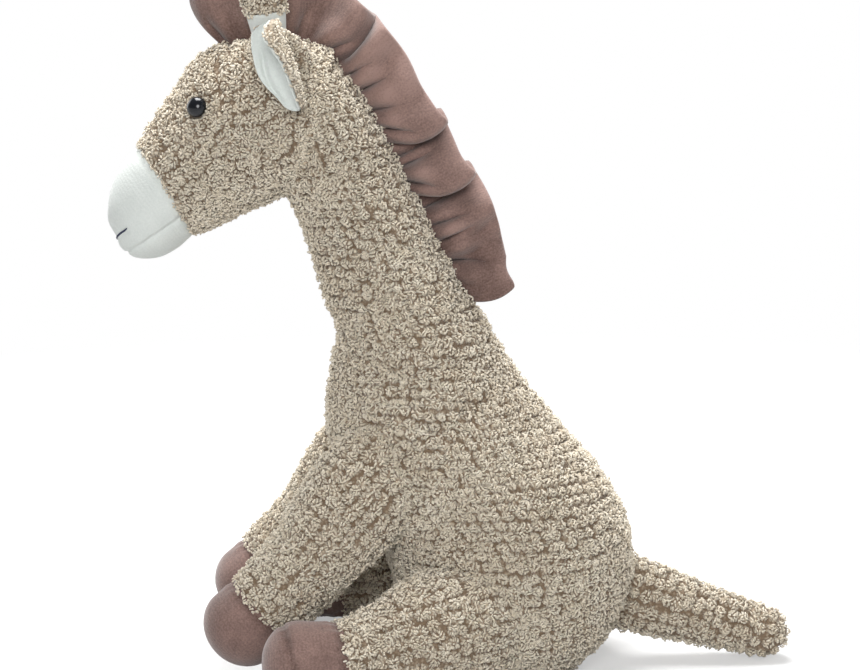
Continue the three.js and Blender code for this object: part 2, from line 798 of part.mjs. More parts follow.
function buildHorns() {
  [['left', leftSide], ['right', rightSide]].forEach(([word, side]) => {
    const at = new THREE.Vector3(horn.knobFrom[0], horn.knobFrom[1] * side, horn.knobFrom[2]);
    const up = vertical.clone().applyAxisAngle(lateral, THREE.MathUtils.degToRad(horn.knobTilt));
    const knobSpace = halfSpace(at.clone().addScaledVector(up, clearance), up);
    const stemSpace = halfSpace(at, up.clone().negate());
    const stem = hornSolid(side, pileRise).intersect(stemSpace);
    addPiece(`horn_stem_${word}`, stem.subtract(headReach).subtract(bodyReach), finish.cream);
    addPiece(`horn_knob_${word}`, hornSolid(side, 0).intersect(knobSpace), finish.sherpa);
  });
}

// The seam that carries the mane: the crown of the head, then the back of the neck
function manePath() {
  const points = [];
  for (let i = mane.firstHead; i >= 1; i -= 1) {
    points.push(new THREE.Vector3(headStations[i].crown[0], 0, headStations[i].crown[1]));
  }
  for (let i = bodyStations.length - 2; i >= Math.ceil(mane.lastBody); i -= 1) {
    points.push(new THREE.Vector3(bodyStations[i].back[0], 0, bodyStations[i].back[1]));
  }
  const end = ringAt(bodyForm.rings, mane.lastBody);
  points.push(end.centre.clone().sub(end.first));
  return new THREE.CatmullRomCurve3(points, false, 'centripetal');
}

function buildMane() {
  const path = manePath();
  const middleAt = (s, t) => {
    const along = path.getTangentAt(s);
    const out = new THREE.Vector3(-along.z, 0, along.x);
    const ends = Math.min(1, Math.min(s, 1 - s) / mane.endShare);
    const tall = THREE.MathUtils.lerp(mane.height, s < 0.5 ? mane.frontHeight : mane.lowerHeight, 1 - ends);
    const phase = 2 * Math.PI * mane.folds * s;
    const wave = Math.sin(phase + mane.uneven * Math.sin(phase / 3));
    const lean = mane.frontLean * Math.max(0, 1 - s / mane.frontShare)
      - mane.lowerLean * Math.max(0, 1 - (1 - s) / mane.lowerShare);
    return path.getPointAt(s)
      .addScaledVector(out, (tall + mane.sink) * t - mane.sink)
      .addScaledVector(along, -lean * t + mane.ruffle * t * Math.cos(phase))
      .add(new THREE.Vector3(0, mane.sway * t * wave, 0));
  };
  const step = 1e-3;
  const solid = sheetSolid((s, t, face) => {
    const alongStep = middleAt(Math.min(1, s + step), t).sub(middleAt(Math.max(0, s - step), t));
    const acrossStep = middleAt(s, t + step).sub(middleAt(s, t - step));
    const normal = alongStep.cross(acrossStep).normalize();
    return middleAt(s, t).addScaledVector(normal, (mane.thick / 2) * (face === 0 ? 1 : -1));
  }, maneRows, maneColumns);
  let cut = solid.subtract(headReach).subtract(bodyReach);
  [leftSide, rightSide].forEach((side) => {
    cut = cut.subtract(hornSolid(side, -clearance));
  });
  addPiece('mane', cut, finish.velvet);
}

buildTorso();
buildTorsoFilling();
buildNeck();
buildHead();
buildLegs();
buildTail();
buildEars();
buildHorns();
buildMane();

export default giraffe;
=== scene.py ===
"""A seated plush giraffe, dressed on its CAD frame.

The skins are knitted sherpa over fibre stuffing. Each skin is a smooth padded form, and its pile is
made of short curled yarn bits that stand in clusters on it. The hooves, the mane, the muzzle and
the ear linings are velvet. Sizes are in millimetres until a mesh is made, the toy faces -X, its
left side is -Y, and the origin is the centre of the flat seat.
"""

import logging
import math
from dataclasses import dataclass, replace
from enum import Enum
from typing import Callable

import bpy
import numpy as np
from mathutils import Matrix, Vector


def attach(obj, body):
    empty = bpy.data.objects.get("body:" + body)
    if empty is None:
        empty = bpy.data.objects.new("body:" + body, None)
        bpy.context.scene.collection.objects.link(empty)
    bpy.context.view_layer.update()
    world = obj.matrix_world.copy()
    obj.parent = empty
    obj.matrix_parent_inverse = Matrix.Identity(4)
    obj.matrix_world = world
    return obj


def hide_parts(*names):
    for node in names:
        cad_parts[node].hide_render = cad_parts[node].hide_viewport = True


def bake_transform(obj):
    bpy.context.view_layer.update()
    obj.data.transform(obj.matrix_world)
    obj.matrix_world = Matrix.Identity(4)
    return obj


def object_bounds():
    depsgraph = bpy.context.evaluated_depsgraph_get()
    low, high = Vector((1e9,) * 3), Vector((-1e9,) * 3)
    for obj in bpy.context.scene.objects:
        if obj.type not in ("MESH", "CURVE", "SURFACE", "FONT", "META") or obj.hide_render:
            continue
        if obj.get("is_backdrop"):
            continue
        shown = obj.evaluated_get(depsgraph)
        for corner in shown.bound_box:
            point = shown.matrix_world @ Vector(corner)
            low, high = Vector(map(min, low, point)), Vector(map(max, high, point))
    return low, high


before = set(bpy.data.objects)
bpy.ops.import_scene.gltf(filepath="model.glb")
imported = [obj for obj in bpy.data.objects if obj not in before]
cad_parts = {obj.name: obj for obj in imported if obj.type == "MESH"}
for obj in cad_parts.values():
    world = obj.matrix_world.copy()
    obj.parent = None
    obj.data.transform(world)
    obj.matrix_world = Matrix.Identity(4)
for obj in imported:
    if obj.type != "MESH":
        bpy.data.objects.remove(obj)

logging.basicConfig(level=logging.INFO, format="%(message)s")
log = logging.getLogger("giraffe")

Array = np.ndarray
Object = bpy.types.Object
Material = bpy.types.Material
Keep = Callable[[Array], Array]
Named = dict | None

MM = 0.001
TURN = 2 * math.pi
UP = np.array([0.0, 0.0, 1.0])

# A distance beyond the toy, and the least length that a vector is divided by
FAR = 1e9
TINY = 1e-9

# The lowest height of a skin, of a yarn bit and of a yarn bit's root
SKIN_FLOOR = 0.15
BIT_FLOOR = 0.2
ROOT_FLOOR = 1.5

# How far the skins under the pile and the velvet lie inside the solids' surface
SKIN_INSET = 2.8
VELVET_INSET = 1.0

# The turn from one seed of a sunflower to the next, in radians
GOLDEN_TURN = 2.39996


class Side(Enum):
    """A side of the toy, as the sign of its Y coordinates."""

    LEFT = -1
    RIGHT = 1

    @property
    def word(self) -> str:
        """The side's name as it stands in the names of pieces."""
        return self.name.lower()

    def of(self, point: tuple) -> tuple:
        """A point that is given on the right side, moved to this side."""
        x, y, z = point
        return x, y * self.value, z


class LegKind(Enum):
    """Which pair a leg belongs to, as the word in the names of pieces."""

    FRONT = "front"
    HIND = "hind"


class Slot(Enum):
    """The finishes that a maker may change, by their names."""

    SHERPA = "sherpa"
    CREAM = "cream_velvet"
    MAUVE = "mauve_velvet"
    EYE = "eye_gloss"
    WASHER = "washer_plastic"
    THREAD = "navy_thread"


# Stations of the CAD source, with the jaw lifted a little beside the muzzle

BODY_STATIONS = (
    ((-38, 0), (40, 0), 42), ((-46, 8), (48.5, 8), 50), ((-52, 24), (60, 24), 58.5),
    ((-57, 48), (67.5, 50), 62), ((-68, 74), (63.5, 76), 60.5), ((-80, 97), (51, 98), 57),
    ((-87, 118), (34.5, 117), 52), ((-87.5, 138), (17, 137.5), 47), ((-85, 156), (4, 155), 43),
    ((-84, 172), (-7, 174), 40), ((-89.5, 192), (-19.5, 194), 37.5), ((-96, 214), (-30.5, 215), 35.5),
    ((-103, 233), (-41, 236), 34), ((-113, 251), (-52, 258), 33.5), ((-118, 272), (-61, 276), 34),
    ((-120, 292), (-71, 292), 32), ((-114, 306), (-82, 305), 25),
)
HEAD_STATIONS = (
    ((-82, 311), (-99, 240), 33), ((-93, 315), (-108, 239), 34.5),
    ((-106, 317.5), (-115, 235.5), 35.5), ((-121, 317), (-122, 232.5), 35.5),
    ((-137.5, 314.5), (-130, 229), 34.5), ((-150.5, 307), (-137, 225.5), 32.5),
    ((-160.5, 293), (-144, 222), 30), ((-171, 279), (-149.5, 220), 27.5),
    ((-181.5, 264), (-154, 217), 26), ((-190, 252), (-161, 211), 25),
    ((-195, 240), (-170.5, 206.5), 22), ((-196, 230), (-181, 206), 16.5),
)
TAIL_STATIONS = (
    ((56, 58), (42, 16), 8), ((71, 53.5), (60, 14.5), 10.5), ((95, 43.5), (86, 9.5), 12),
    ((120, 33.5), (112, 4.5), 12), ((137, 27), (130, 1.5), 11),
)
FRONT_LEG_STATIONS = (
    ((-46, 22, 120), 24, 18), ((-69, 36, 95), 28, 22), ((-97, 39, 60), 23.5, 22),
    ((-119, 39.5, 37.5), 21.5, 21.5), ((-128.5, 39.5, 28.5), 21.5, 21.5),
)
HIND_LEG_STATIONS = (
    ((18, 28, 36), 30, 22), ((-31, 56, 31), 31, 26), ((-60, 65, 23.5), 23.5, 22),
    ((-80, 70, 20.5), 20.5, 20.5), ((-99, 73, 20.8), 20.8, 20.8),
)
HORN_STATIONS = (
    ((-112, 21, 302), 8.5, 8.5), ((-113, 22.5, 317), 9, 9), ((-114.5, 23.5, 329), 10.5, 10),
    ((-116, 24, 340), 12, 11.5),
)
EAR_ROOT_STATIONS = (
    ((-108, 37.5, 320.5), 4, 3), ((-103.5, 33, 318), 4.5, 3.5), ((-99, 27, 311.5), 5.5, 4),
    ((-97.5, 22, 303), 6.5, 4.5),
)


# Curves and rings


def unit(vectors: Array) -> Array:
    """The vectors at length one, with a zero vector left as it is."""
    lengths = np.linalg.norm(vectors, axis=-1, keepdims=True)
    return vectors / np.maximum(lengths, TINY)


def square_to(vectors: Array, axes: Array) -> Array:
    """Unit vectors square to the unit axes: each vector less its share along its axis."""
    directions = unit(vectors)
    return unit(directions - axes * (directions * axes).sum(axis=1, keepdims=True))


def smooth(low: float, high: float, values: Array) -> Array:
    """Rises smoothly from 0 at `low` to 1 at `high`: 3t squared less 2t cubed."""
    t = np.clip((values - low) / (high - low), 0, 1)
    return t * t * (3 - 2 * t)


def bell(distance: Array, width: float) -> Array:
    """Falls from 1 where distance is 0: e to the minus of distance over width, squared."""
    return np.exp(-((distance / width) ** 2))


def running(steps: Array) -> Array:
    """The sum of all steps before each place, from 0."""
    return np.concatenate([[0], np.cumsum(steps)])


def turns(count: int) -> Array:
    """Equal turns round a circle, from 0."""
    return np.linspace(0, TURN, count, endpoint=False)


def swung(first: Array, second: Array, angle: Array) -> Array:
    """Vectors at an angle between two others: first times its cosine and second times its sine."""
    return first * np.cos(angle)[..., None] + second * np.sin(angle)[..., None]


def spline(table: Array, places: Array) -> Array:
    """Reads a table of stations as a Catmull-Rom curve.

    Args:
        table: values at the stations, with the stations on the first axis.
        places: where to read it, counted in stations.

    Returns:
        The values at the places. Between b and c, with neighbours a and d, the value is half of
        2b + (c - a)t + (2a - 5b + 4c - d)t squared + (3b - a - 3c + d)t cubed.
    """
    last = len(table) - 1
    index = np.clip(np.floor(places).astype(int), 0, last - 1)
    t = (places - index).reshape(places.shape + (1,) * (table.ndim - 1))
    a, b, c, d = (table[np.clip(index + k, 0, last)] for k in (-1, 0, 1, 2))
    lower = 2 * b + (c - a) * t + (2 * a - 5 * b + 4 * c - d) * t**2
    return 0.5 * (lower + (3 * b - a - 3 * c + d) * t**3)


def sagittal_rings(stations: tuple) -> Array:
    """Rings from (upper point, lower point, half width) in the side view.

    Returns:
        An array (stations, 3, 3): each ring's centre, its half axis towards the upper point, and
        its half axis along Y.
    """
    rings = [((x, 0, z), (u, 0, v), (0, half, 0)) for (x, z), (u, v), half in stations]
    upper, lower, wide = np.moveaxis(np.array(rings, float), 1, 0)
    return np.stack([(upper + lower) / 2, (upper - lower) / 2, wide], axis=1)


def spine_rings(stations: tuple, side: Side) -> Array:
    """Rings square to a spine, from (centre, height, width) with the centre on the right side."""
    points, heights, widths = zip(*stations)
    centres = np.array([side.of(point) for point in points], float)
    padded = np.concatenate([centres[:1], centres, centres[-1:]])
    along = unit(padded[2:] - padded[:-2])
    across = unit(np.array([0, 1, 0]) - along * along[:, 1:2])
    up = unit(np.cross(across, along))
    up = up * np.array(heights, float)[:, None]
    return np.stack([centres, up, across * np.array(widths, float)[:, None]], axis=1)


@dataclass
class Patch:
    """A grid of points on a closed skin. Rows run along the form and columns run round it.

    Attributes:
        points: (rows, columns, 3).
        centres: (rows, 3), the middle of each row.
        places: (rows,), each row's place along the stations; past the last one on an end dome.
        poles: the two points that close the ends.
        rise: (rows, columns), how far a cluster of pile lifts the skin, from 0 to 1, which the ground's
            painted shade follows; on velvet, darker below 1 and paler above it, as painted light and shade
            on the mane.
    """

    points: Array
    centres: Array
    places: Array
    poles: Array
    rise: Array | None = None

    @classmethod
    def closed(cls, points: Array, places: Array, rise: Array | None = None) -> "Patch":
        """A grid with its centres at the rows' means and its poles at the end rows' means."""
        return cls(points, points.mean(axis=1), places, points[[0, -1]].mean(axis=1), rise)

    @property
    def around(self) -> Array:
        """The way from each point's neighbour before it to the one after it, round the row."""
        return np.roll(self.points, -1, axis=1) - np.roll(self.points, 1, axis=1)

    @property
    def normals(self) -> Array:
        """Unit normals of the grid, away from the rows' centres."""
        along = np.gradient(self.points, axis=0)
        normal = unit(np.cross(self.around, along))
        outward = self.points - self.centres[:, None]
        return normal if (normal * outward).sum() > 0 else -normal

    @property
    def step(self) -> float:
        """The mean distance between rows."""
        return float(np.linalg.norm(np.diff(self.points, axis=0), axis=-1).mean())

    @property
    def girths(self) -> Array:
        """The length of each row, all the way round."""
        onward = np.roll(self.points, -1, axis=1) - self.points
        return np.linalg.norm(onward, axis=-1).sum(axis=1)

    def sample(self, values: Array, row: Array, column: Array) -> Array:
        """Reads grid values between the grid's points, straight along both ways.

        Args:
            values: (rows, columns, n).
            row: places in rows, kept inside the grid.
            column: places in columns, which run on round the form.

        Returns:
            The mean of the four nearest grid values, weighted by nearness.
        """
        rows, columns = values.shape[:2]
        row = np.clip(row, 0, rows - 1.001)
        i = row.astype(int)
        j = np.floor(column).astype(int)
        u = (row - i)[:, None]
        v = (column - j)[:, None]
        j0 = j % columns
        j1 = (j + 1) % columns
        low = values[i, j0] * (1 - v) + values[i, j1] * v
        high = values[i + 1, j0] * (1 - v) + values[i + 1, j1] * v
        return low * (1 - u) + high * u

    def pushed(self, heights: Array) -> "Patch":
        """A copy with each point moved along its normal."""
        points = self.points + self.normals * heights[..., None]
        return replace(self, points=points)

    def softened(self, place: float, reach: float, passes: int) -> "Patch":
        """A copy that runs on smoothly over one place, by repeated means of neighbouring rows."""
        points = self.points.copy()
        share = bell(self.places[1:-1] - place, reach)[:, None, None]
        for _ in range(passes):
            mean = (points[:-2] + 2 * points[1:-1] + points[2:]) / 4
            points[1:-1] += (mean - points[1:-1]) * share
        return replace(self, points=points)

    def slid(self, lengths: Array) -> "Patch":
        """A copy with each point moved along the rows by a length, on the same surface."""
        rows, columns = self.points.shape[:2]
        row = np.arange(rows)[:, None] + lengths / self.step
        column = np.tile(np.arange(columns, dtype=float), (rows, 1))
        moved = self.sample(self.points, row.reshape(-1), column.reshape(-1))
        return replace(self, points=moved.reshape(self.points.shape))


@dataclass
class PaddedForm:
    """A stuffed form: a smooth skin over elliptical rings, closed by a dome at its far end.

    Attributes:
        rings: (stations, 3, 3), as sagittal_rings gives them.
        dome: how far the far end bulges past the last ring.
    """

    rings: Array
    dome: float = 0.0

    @property
    def last(self) -> float:
        """The place of the last station."""
        return float(len(self.rings) - 1)

    def sections(self, inset: float, start: float, end: float, count: int = 500) -> tuple[Array, Array]:
        """Dense rings from one place to another, with the dome's rings if the form's end is reached.

        Args:
            inset: how far the skin lies inside the form's outer surface.
            start: place of the first ring.
            end: place of the last ring before the dome.
            count: how many rings.

        Returns:
            The rings and their places. A dome ring at angle a lies dome times sin a past the last
            one, its axes shortened by cos a, and its place runs on by a quarter turn as 1.
        """
        places = np.linspace(start, end, count)
        rings = spline(self.rings, places)
        axes = rings[:, 1:]
        lengths = np.linalg.norm(axes, axis=2, keepdims=True)
        rings[:, 1:] = axes * np.maximum(lengths - inset, 0.5) / lengths
        if self.dome > 0 and end >= self.last:
            angle = np.linspace(0, math.pi / 2, count // 4)[1:-1]
            tip = rings[-1]
            outward = unit(np.cross(tip[1], tip[2]))
            if outward @ (tip[0] - rings[-3, 0]) < 0:
                outward = -outward
            depth = self.dome - inset
            cap = np.repeat(tip[None], len(angle), axis=0)
            cap[:, 0] += outward * (depth * np.sin(angle))[:, None]
            cap[:, 1:] *= np.cos(angle)[:, None, None]
            rings = np.concatenate([rings, cap])
            places = np.concatenate([places, end + angle / (math.pi / 2)])
        return rings, places

    def patch(self, inset: float, step: float, start: float = 0.0, end: float | None = None) -> Patch:
        """The skin as a grid with rows at equal distances.

        Args:
            inset: how far the skin lies inside the form's outer surface.
            step: the distance between rows, and between columns where the form is widest.
            start: place of the first row.
            end: place of the last row; the form's end by default.

        Returns:
            The grid, with column 0 at the ring's first half axis.
        """
        rings, places = self.sections(inset, start, self.last if end is None else end)
        girth = np.linalg.norm(rings[:, 1:], axis=2).mean(axis=1).max() * TURN
        columns = int(math.ceil(girth / step / 2)) * 2
        dense = rings[:, None, 0] + swung(rings[:, None, 1], rings[:, None, 2], turns(columns))
        travelled = running(np.linalg.norm(np.diff(dense, axis=0), axis=2).mean(axis=1))
        rows = int(math.ceil(travelled[-1] / step))
        wanted = np.linspace(0, travelled[-1], rows + 1)
        spot = np.interp(wanted, travelled, np.arange(len(travelled)))
        index = np.clip(spot.astype(int), 0, len(travelled) - 2)
        share = (spot - index)[:, None, None]
        points = dense[index] * (1 - share) + dense[index + 1] * share
        centres = points.mean(axis=1)
        poles = np.stack([rings[0, 0], self.end_pole(inset, rings)])
        return Patch(points, centres, np.interp(spot, np.arange(len(places)), places), poles)

    def end_pole(self, inset: float, rings: Array) -> Array:
        """The point that closes the far end: the last ring's centre, moved on to the dome's top."""
        tip = rings[-1]
        onward = unit(tip[0] - rings[-3, 0])
        reach = np.linalg.norm(tip[1]) * 0.02 if self.dome > 0 else 0.0
        return tip[0] + onward * reach * (inset < self.dome)

    def depth(self, points: Array) -> Array:
        """How far points lie outside the form, in millimetres, and below 0 inside it.

        The nearest of the form's section planes is taken for each point. In that plane the value
        is the elliptical radius less 1, times the mean half axis.
        """
        rings = spline(self.rings, np.linspace(0, self.last, 90))
        lengths = np.linalg.norm(rings[:, 1:], axis=2)
        planes = unit(np.cross(rings[:, 1], rings[:, 2]))
        if planes[-1] @ (rings[-1, 0] - rings[-2, 0]) < 0:
            planes = -planes
        offsets = (rings[:, 0] * planes).sum(axis=1)
        result = np.empty(len(points))
        for chunk in np.array_split(np.arange(len(points)), max(1, len(points) // 20000)):
            axial = points[chunk] @ planes.T - offsets
            nearest = np.abs(axial).argmin(axis=1)
            ring = rings[nearest]
            arm = points[chunk] - ring[:, 0]
            x = (arm * ring[:, 1]).sum(axis=1) / lengths[nearest, 0] ** 2
            y = (arm * ring[:, 2]).sum(axis=1) / lengths[nearest, 1] ** 2
            past = axial[np.arange(len(chunk)), nearest]
            last = nearest == len(rings) - 1
            beyond = np.where(last, np.maximum(past, 0) / max(self.dome, 0.5), 0)
            before = np.where(nearest == 0, np.maximum(-past, 0) / 0.5, 0)
            radius = np.sqrt(x**2 + y**2 + beyond**2 + before**2)
            result[chunk] = (radius - 1) * lengths[nearest].mean(axis=1)
        return result


@dataclass(frozen=True)
class Groove:
    """A line where the cloth is drawn in, such as a seam or a crease.

    Attributes:
        path: (n, 3), the line's points.
        depth: how far it draws the cloth in.
        width: the distance at which the draw falls to about a third.
        sewn: whether it is a seam, so that no pile stands on it.
    """

    path: tuple
    depth: float
    width: float
    sewn: bool = True

    def distance(self, points: Array) -> Array:
        """The distance of each point from the line, over all its stretches."""
        line = np.array(self.path, float)
        best = np.full(points.shape[:-1], FAR)
        for start, end in zip(line[:-1], line[1:]):
            way = end - start
            share = np.clip(((points - start) @ way) / (way @ way), 0, 1)
            foot = start + share[..., None] * way
            best = np.minimum(best, np.linalg.norm(points - foot, axis=-1))
        return best

    def draw(self, points: Array) -> Array:
        """The draw at each point: depth times the bell of its distance over the width."""
        return self.depth * bell(self.distance(points), self.width)


def gap_to(grooves: list[Groove], points: Array) -> Array:
    """The distance of each point from the nearest of the grooves."""
    return np.min([groove.distance(points) for groove in grooves], axis=0)


# Meshes


def linked(name: str, data: bpy.types.ID) -> Object:
    """A new object in the scene with this data."""
    made = bpy.data.objects.new(name, data)
    bpy.context.scene.collection.objects.link(made)
    return made


def mesh_object(name: str, points: Array, polygons: list[Array]) -> Object:
    """Makes a mesh object at the origin, with smooth faces.

    Args:
        name: the object's name.
        points: (n, 3) in millimetres.
        polygons: arrays (faces, corners), one for each count of corners.

    Returns:
        The linked object.
    """
    mesh = bpy.data.meshes.new(name)
    corners = np.concatenate([p.reshape(-1) for p in polygons])
    totals = np.concatenate([np.full(len(p), p.shape[1]) for p in polygons])
    starts = running(totals[:-1])
    mesh.vertices.add(len(points))
    mesh.vertices.foreach_set("co", (points * MM).astype(np.float32).reshape(-1))
    mesh.loops.add(len(corners))
    mesh.loops.foreach_set("vertex_index", corners.astype(np.int32))
    mesh.polygons.add(len(totals))
    mesh.polygons.foreach_set("loop_start", starts.astype(np.int32))
    mesh.update(calc_edges=True)
    mesh.polygons.foreach_set("use_smooth", np.ones(len(totals), bool))
    mesh.update()
    log.info("%s: %d faces", name, len(totals))
    return linked(name, mesh)


def volume_of(points: Array, quads: Array) -> float:
    """Six times the signed volume inside quads, each taken as two triangles."""
    a, b, c, d = (points[quads[:, k]] for k in range(4))
    return float((a * (np.cross(b, c) + np.cross(c, d))).sum())


def closed_grid(rows: int, columns: int, points: Array) -> list[Array]:
    """Faces of a grid that runs on round its columns, with a fan to a pole at each end.

    Args:
        rows: rows of the grid.
        columns: columns of the grid.
        points: the grid's points row by row, then the first pole and the last pole.

    Returns:
        Quads and triangles that face outwards.
    """
    index = np.arange(rows * columns).reshape(rows, columns)
    onward = np.roll(index, -1, axis=1)
    quads = np.stack([index[:-1], onward[:-1], onward[1:], index[1:]], axis=-1).reshape(-1, 4)
    first = np.stack([np.full(columns, rows * columns), onward[0], index[0]], axis=-1)
    last = np.stack([np.full(columns, rows * columns + 1), index[-1], onward[-1]], axis=-1)
    fans = np.concatenate([first, last])
    if volume_of(points, quads) < 0:
        quads, fans = quads[:, ::-1], fans[:, ::-1]
    return [quads, fans]


def set_values(obj: Object, name: str, values: Array) -> None:
    """Stores one number for each vertex, for the material to read."""
    attribute = obj.data.attributes.new(name, "FLOAT", "POINT")
    attribute.data.foreach_set("value", values.astype(np.float32).reshape(-1))


def set_cloth_map(obj: Object, across: Array, along: Array) -> None:
    """Stores where each vertex lies on its flat cloth, in metres, as the attribute `cloth`."""
    flat = np.stack([across.reshape(-1), along.reshape(-1), np.zeros(across.size)], axis=1) * MM
    attribute = obj.data.attributes.new("cloth", "FLOAT_VECTOR", "POINT")
    attribute.data.foreach_set("vector", flat.astype(np.float32).reshape(-1))


def above_floor(patch: Patch) -> Patch:
    """The patch with what would sink into the floor laid flat on it."""
    for points in (patch.points, patch.poles):
        points[..., 2] = np.maximum(points[..., 2], SKIN_FLOOR)
    return patch


def skin_object(name: str, patch: Patch, backing: Array | None = None) -> Object:
    """Makes a closed skin from a grid, with its flat cloth map.

    Args:
        name: the object's name.
        patch: the grid.
        backing: (rows, columns), how far the plain backing cloth shows, from 0 to 1.

    Returns:
        The object.
    """
    rows, columns = patch.points.shape[:2]
    points = np.concatenate([patch.points.reshape(-1, 3), patch.poles])
    made = mesh_object(name, points, closed_grid(rows, columns, points))
    along = np.repeat(np.arange(rows) * patch.step, columns)
    share = np.tile(np.abs(np.linspace(-1, 1, columns, endpoint=False)), rows)
    across = share * patch.girths.mean() / 2
    set_cloth_map(made, np.append(across, [0, 0]), np.append(along, [0, rows * patch.step]))
    shown = np.zeros((rows, columns)) if backing is None else backing
    rise = np.ones((rows, columns)) if patch.rise is None else patch.rise
    set_values(made, "backing", np.append(shown, [0, 0]))
    set_values(made, "rise", np.append(rise, [0, 0]))
    return made


# Filling


@dataclass(frozen=True)
class Filling:
    """A short cloth simulation in which the filling swells a skin between its seams.

    Attributes:
        pressure: the filling's pressure on the cloth.
        mass: a simulated point's mass, in kilograms.
        smaller: how much smaller the skin starts, where it isn't held.
        slack: how much larger the cloth is cut than the form, as a share.
        grid: the distance between the simulated points.
        cap: the furthest that a point moves.
        frames: how many frames are run.
    """

    pressure: float = 4.0
    mass: float = 0.02
    smaller: float = 0.6
    slack: float = 0.03
    grid: float = 4.5
    cap: float = 1.6
    frames: int = 20

    def swell(self, patch: Patch, held: Array) -> Patch:
        """The patch after the simulation.

        Args:
            patch: the skin.
            held: (rows, columns), how firmly a point is held, from 0 to 1.

        Returns:
            The skin, with each point moved by the simulated move between the four nearest points.
        """
        patch = patch.pushed(-self.smaller * (1 - held))
        rows, columns = patch.points.shape[:2]
        down = max(4, round((rows - 1) * patch.step / self.grid))
        around = max(10, round(float(np.median(patch.girths)) / self.grid))
        row = np.round(np.linspace(0, rows - 1, down + 1)).astype(int)
        column = np.round(np.arange(around) * columns / around).astype(int)
        coarse = patch.points[np.ix_(row, column)]
        points = np.concatenate([coarse.reshape(-1, 3), patch.poles])
        cloth = mesh_object("filling_cloth", points, closed_grid(len(row), around, points))
        pins = cloth.vertex_groups.new(name="held")
        ends = [held[0].mean(), held[-1].mean()]
        firm = np.concatenate([held[np.ix_(row, column)].reshape(-1), ends])
        for level in np.unique(np.round(firm, 1)):
            chosen = np.flatnonzero(np.round(firm, 1) == level)
            pins.add(chosen.tolist(), float(level), "REPLACE")
        moved = self.run(cloth, pins.name) - points
        bpy.data.meshes.remove(cloth.data)
        length = np.linalg.norm(moved, axis=1, keepdims=True)
        moved = moved * (self.cap * np.tanh(length / self.cap) / np.maximum(length, TINY))
        log.info("filling: a point moves up to %.2f mm", float(np.linalg.norm(moved, axis=1).max()))
        grid = moved[:-2].reshape(coarse.shape)
        place = np.interp(np.arange(rows), row, np.arange(len(row)))
        turn = np.interp(np.arange(columns), np.append(column, columns), np.arange(around + 1))
        rows_at, turns_at = np.meshgrid(place, turn, indexing="ij")
        moves = patch.sample(grid, rows_at.reshape(-1), turns_at.reshape(-1))
        swollen = patch.points + moves.reshape(patch.points.shape)
        return replace(patch, points=swollen, poles=patch.poles + moved[-2:])

    def run(self, cloth: Object, pins: str) -> Array:
        """Runs the simulation and gives the points' last places, in millimetres."""
        modifier = cloth.modifiers.new("swell", "CLOTH")
        settings = modifier.settings
        settings.use_pressure = True
        settings.uniform_pressure_force = self.pressure
        settings.mass = self.mass
        settings.shrink_min = -self.slack
        settings.vertex_group_mass = pins
        settings.effector_weights.gravity = 0
        modifier.point_cache.frame_start = 1
        modifier.point_cache.frame_end = self.frames
        for number in range(1, self.frames + 1):
            bpy.context.scene.frame_set(number)
        baked = cloth.evaluated_get(bpy.context.evaluated_depsgraph_get()).data
        flat = np.empty(len(baked.vertices) * 3)
        baked.vertices.foreach_get("co", flat)
        bpy.context.scene.frame_set(1)
        return flat.reshape(-1, 3) / MM


# Pile


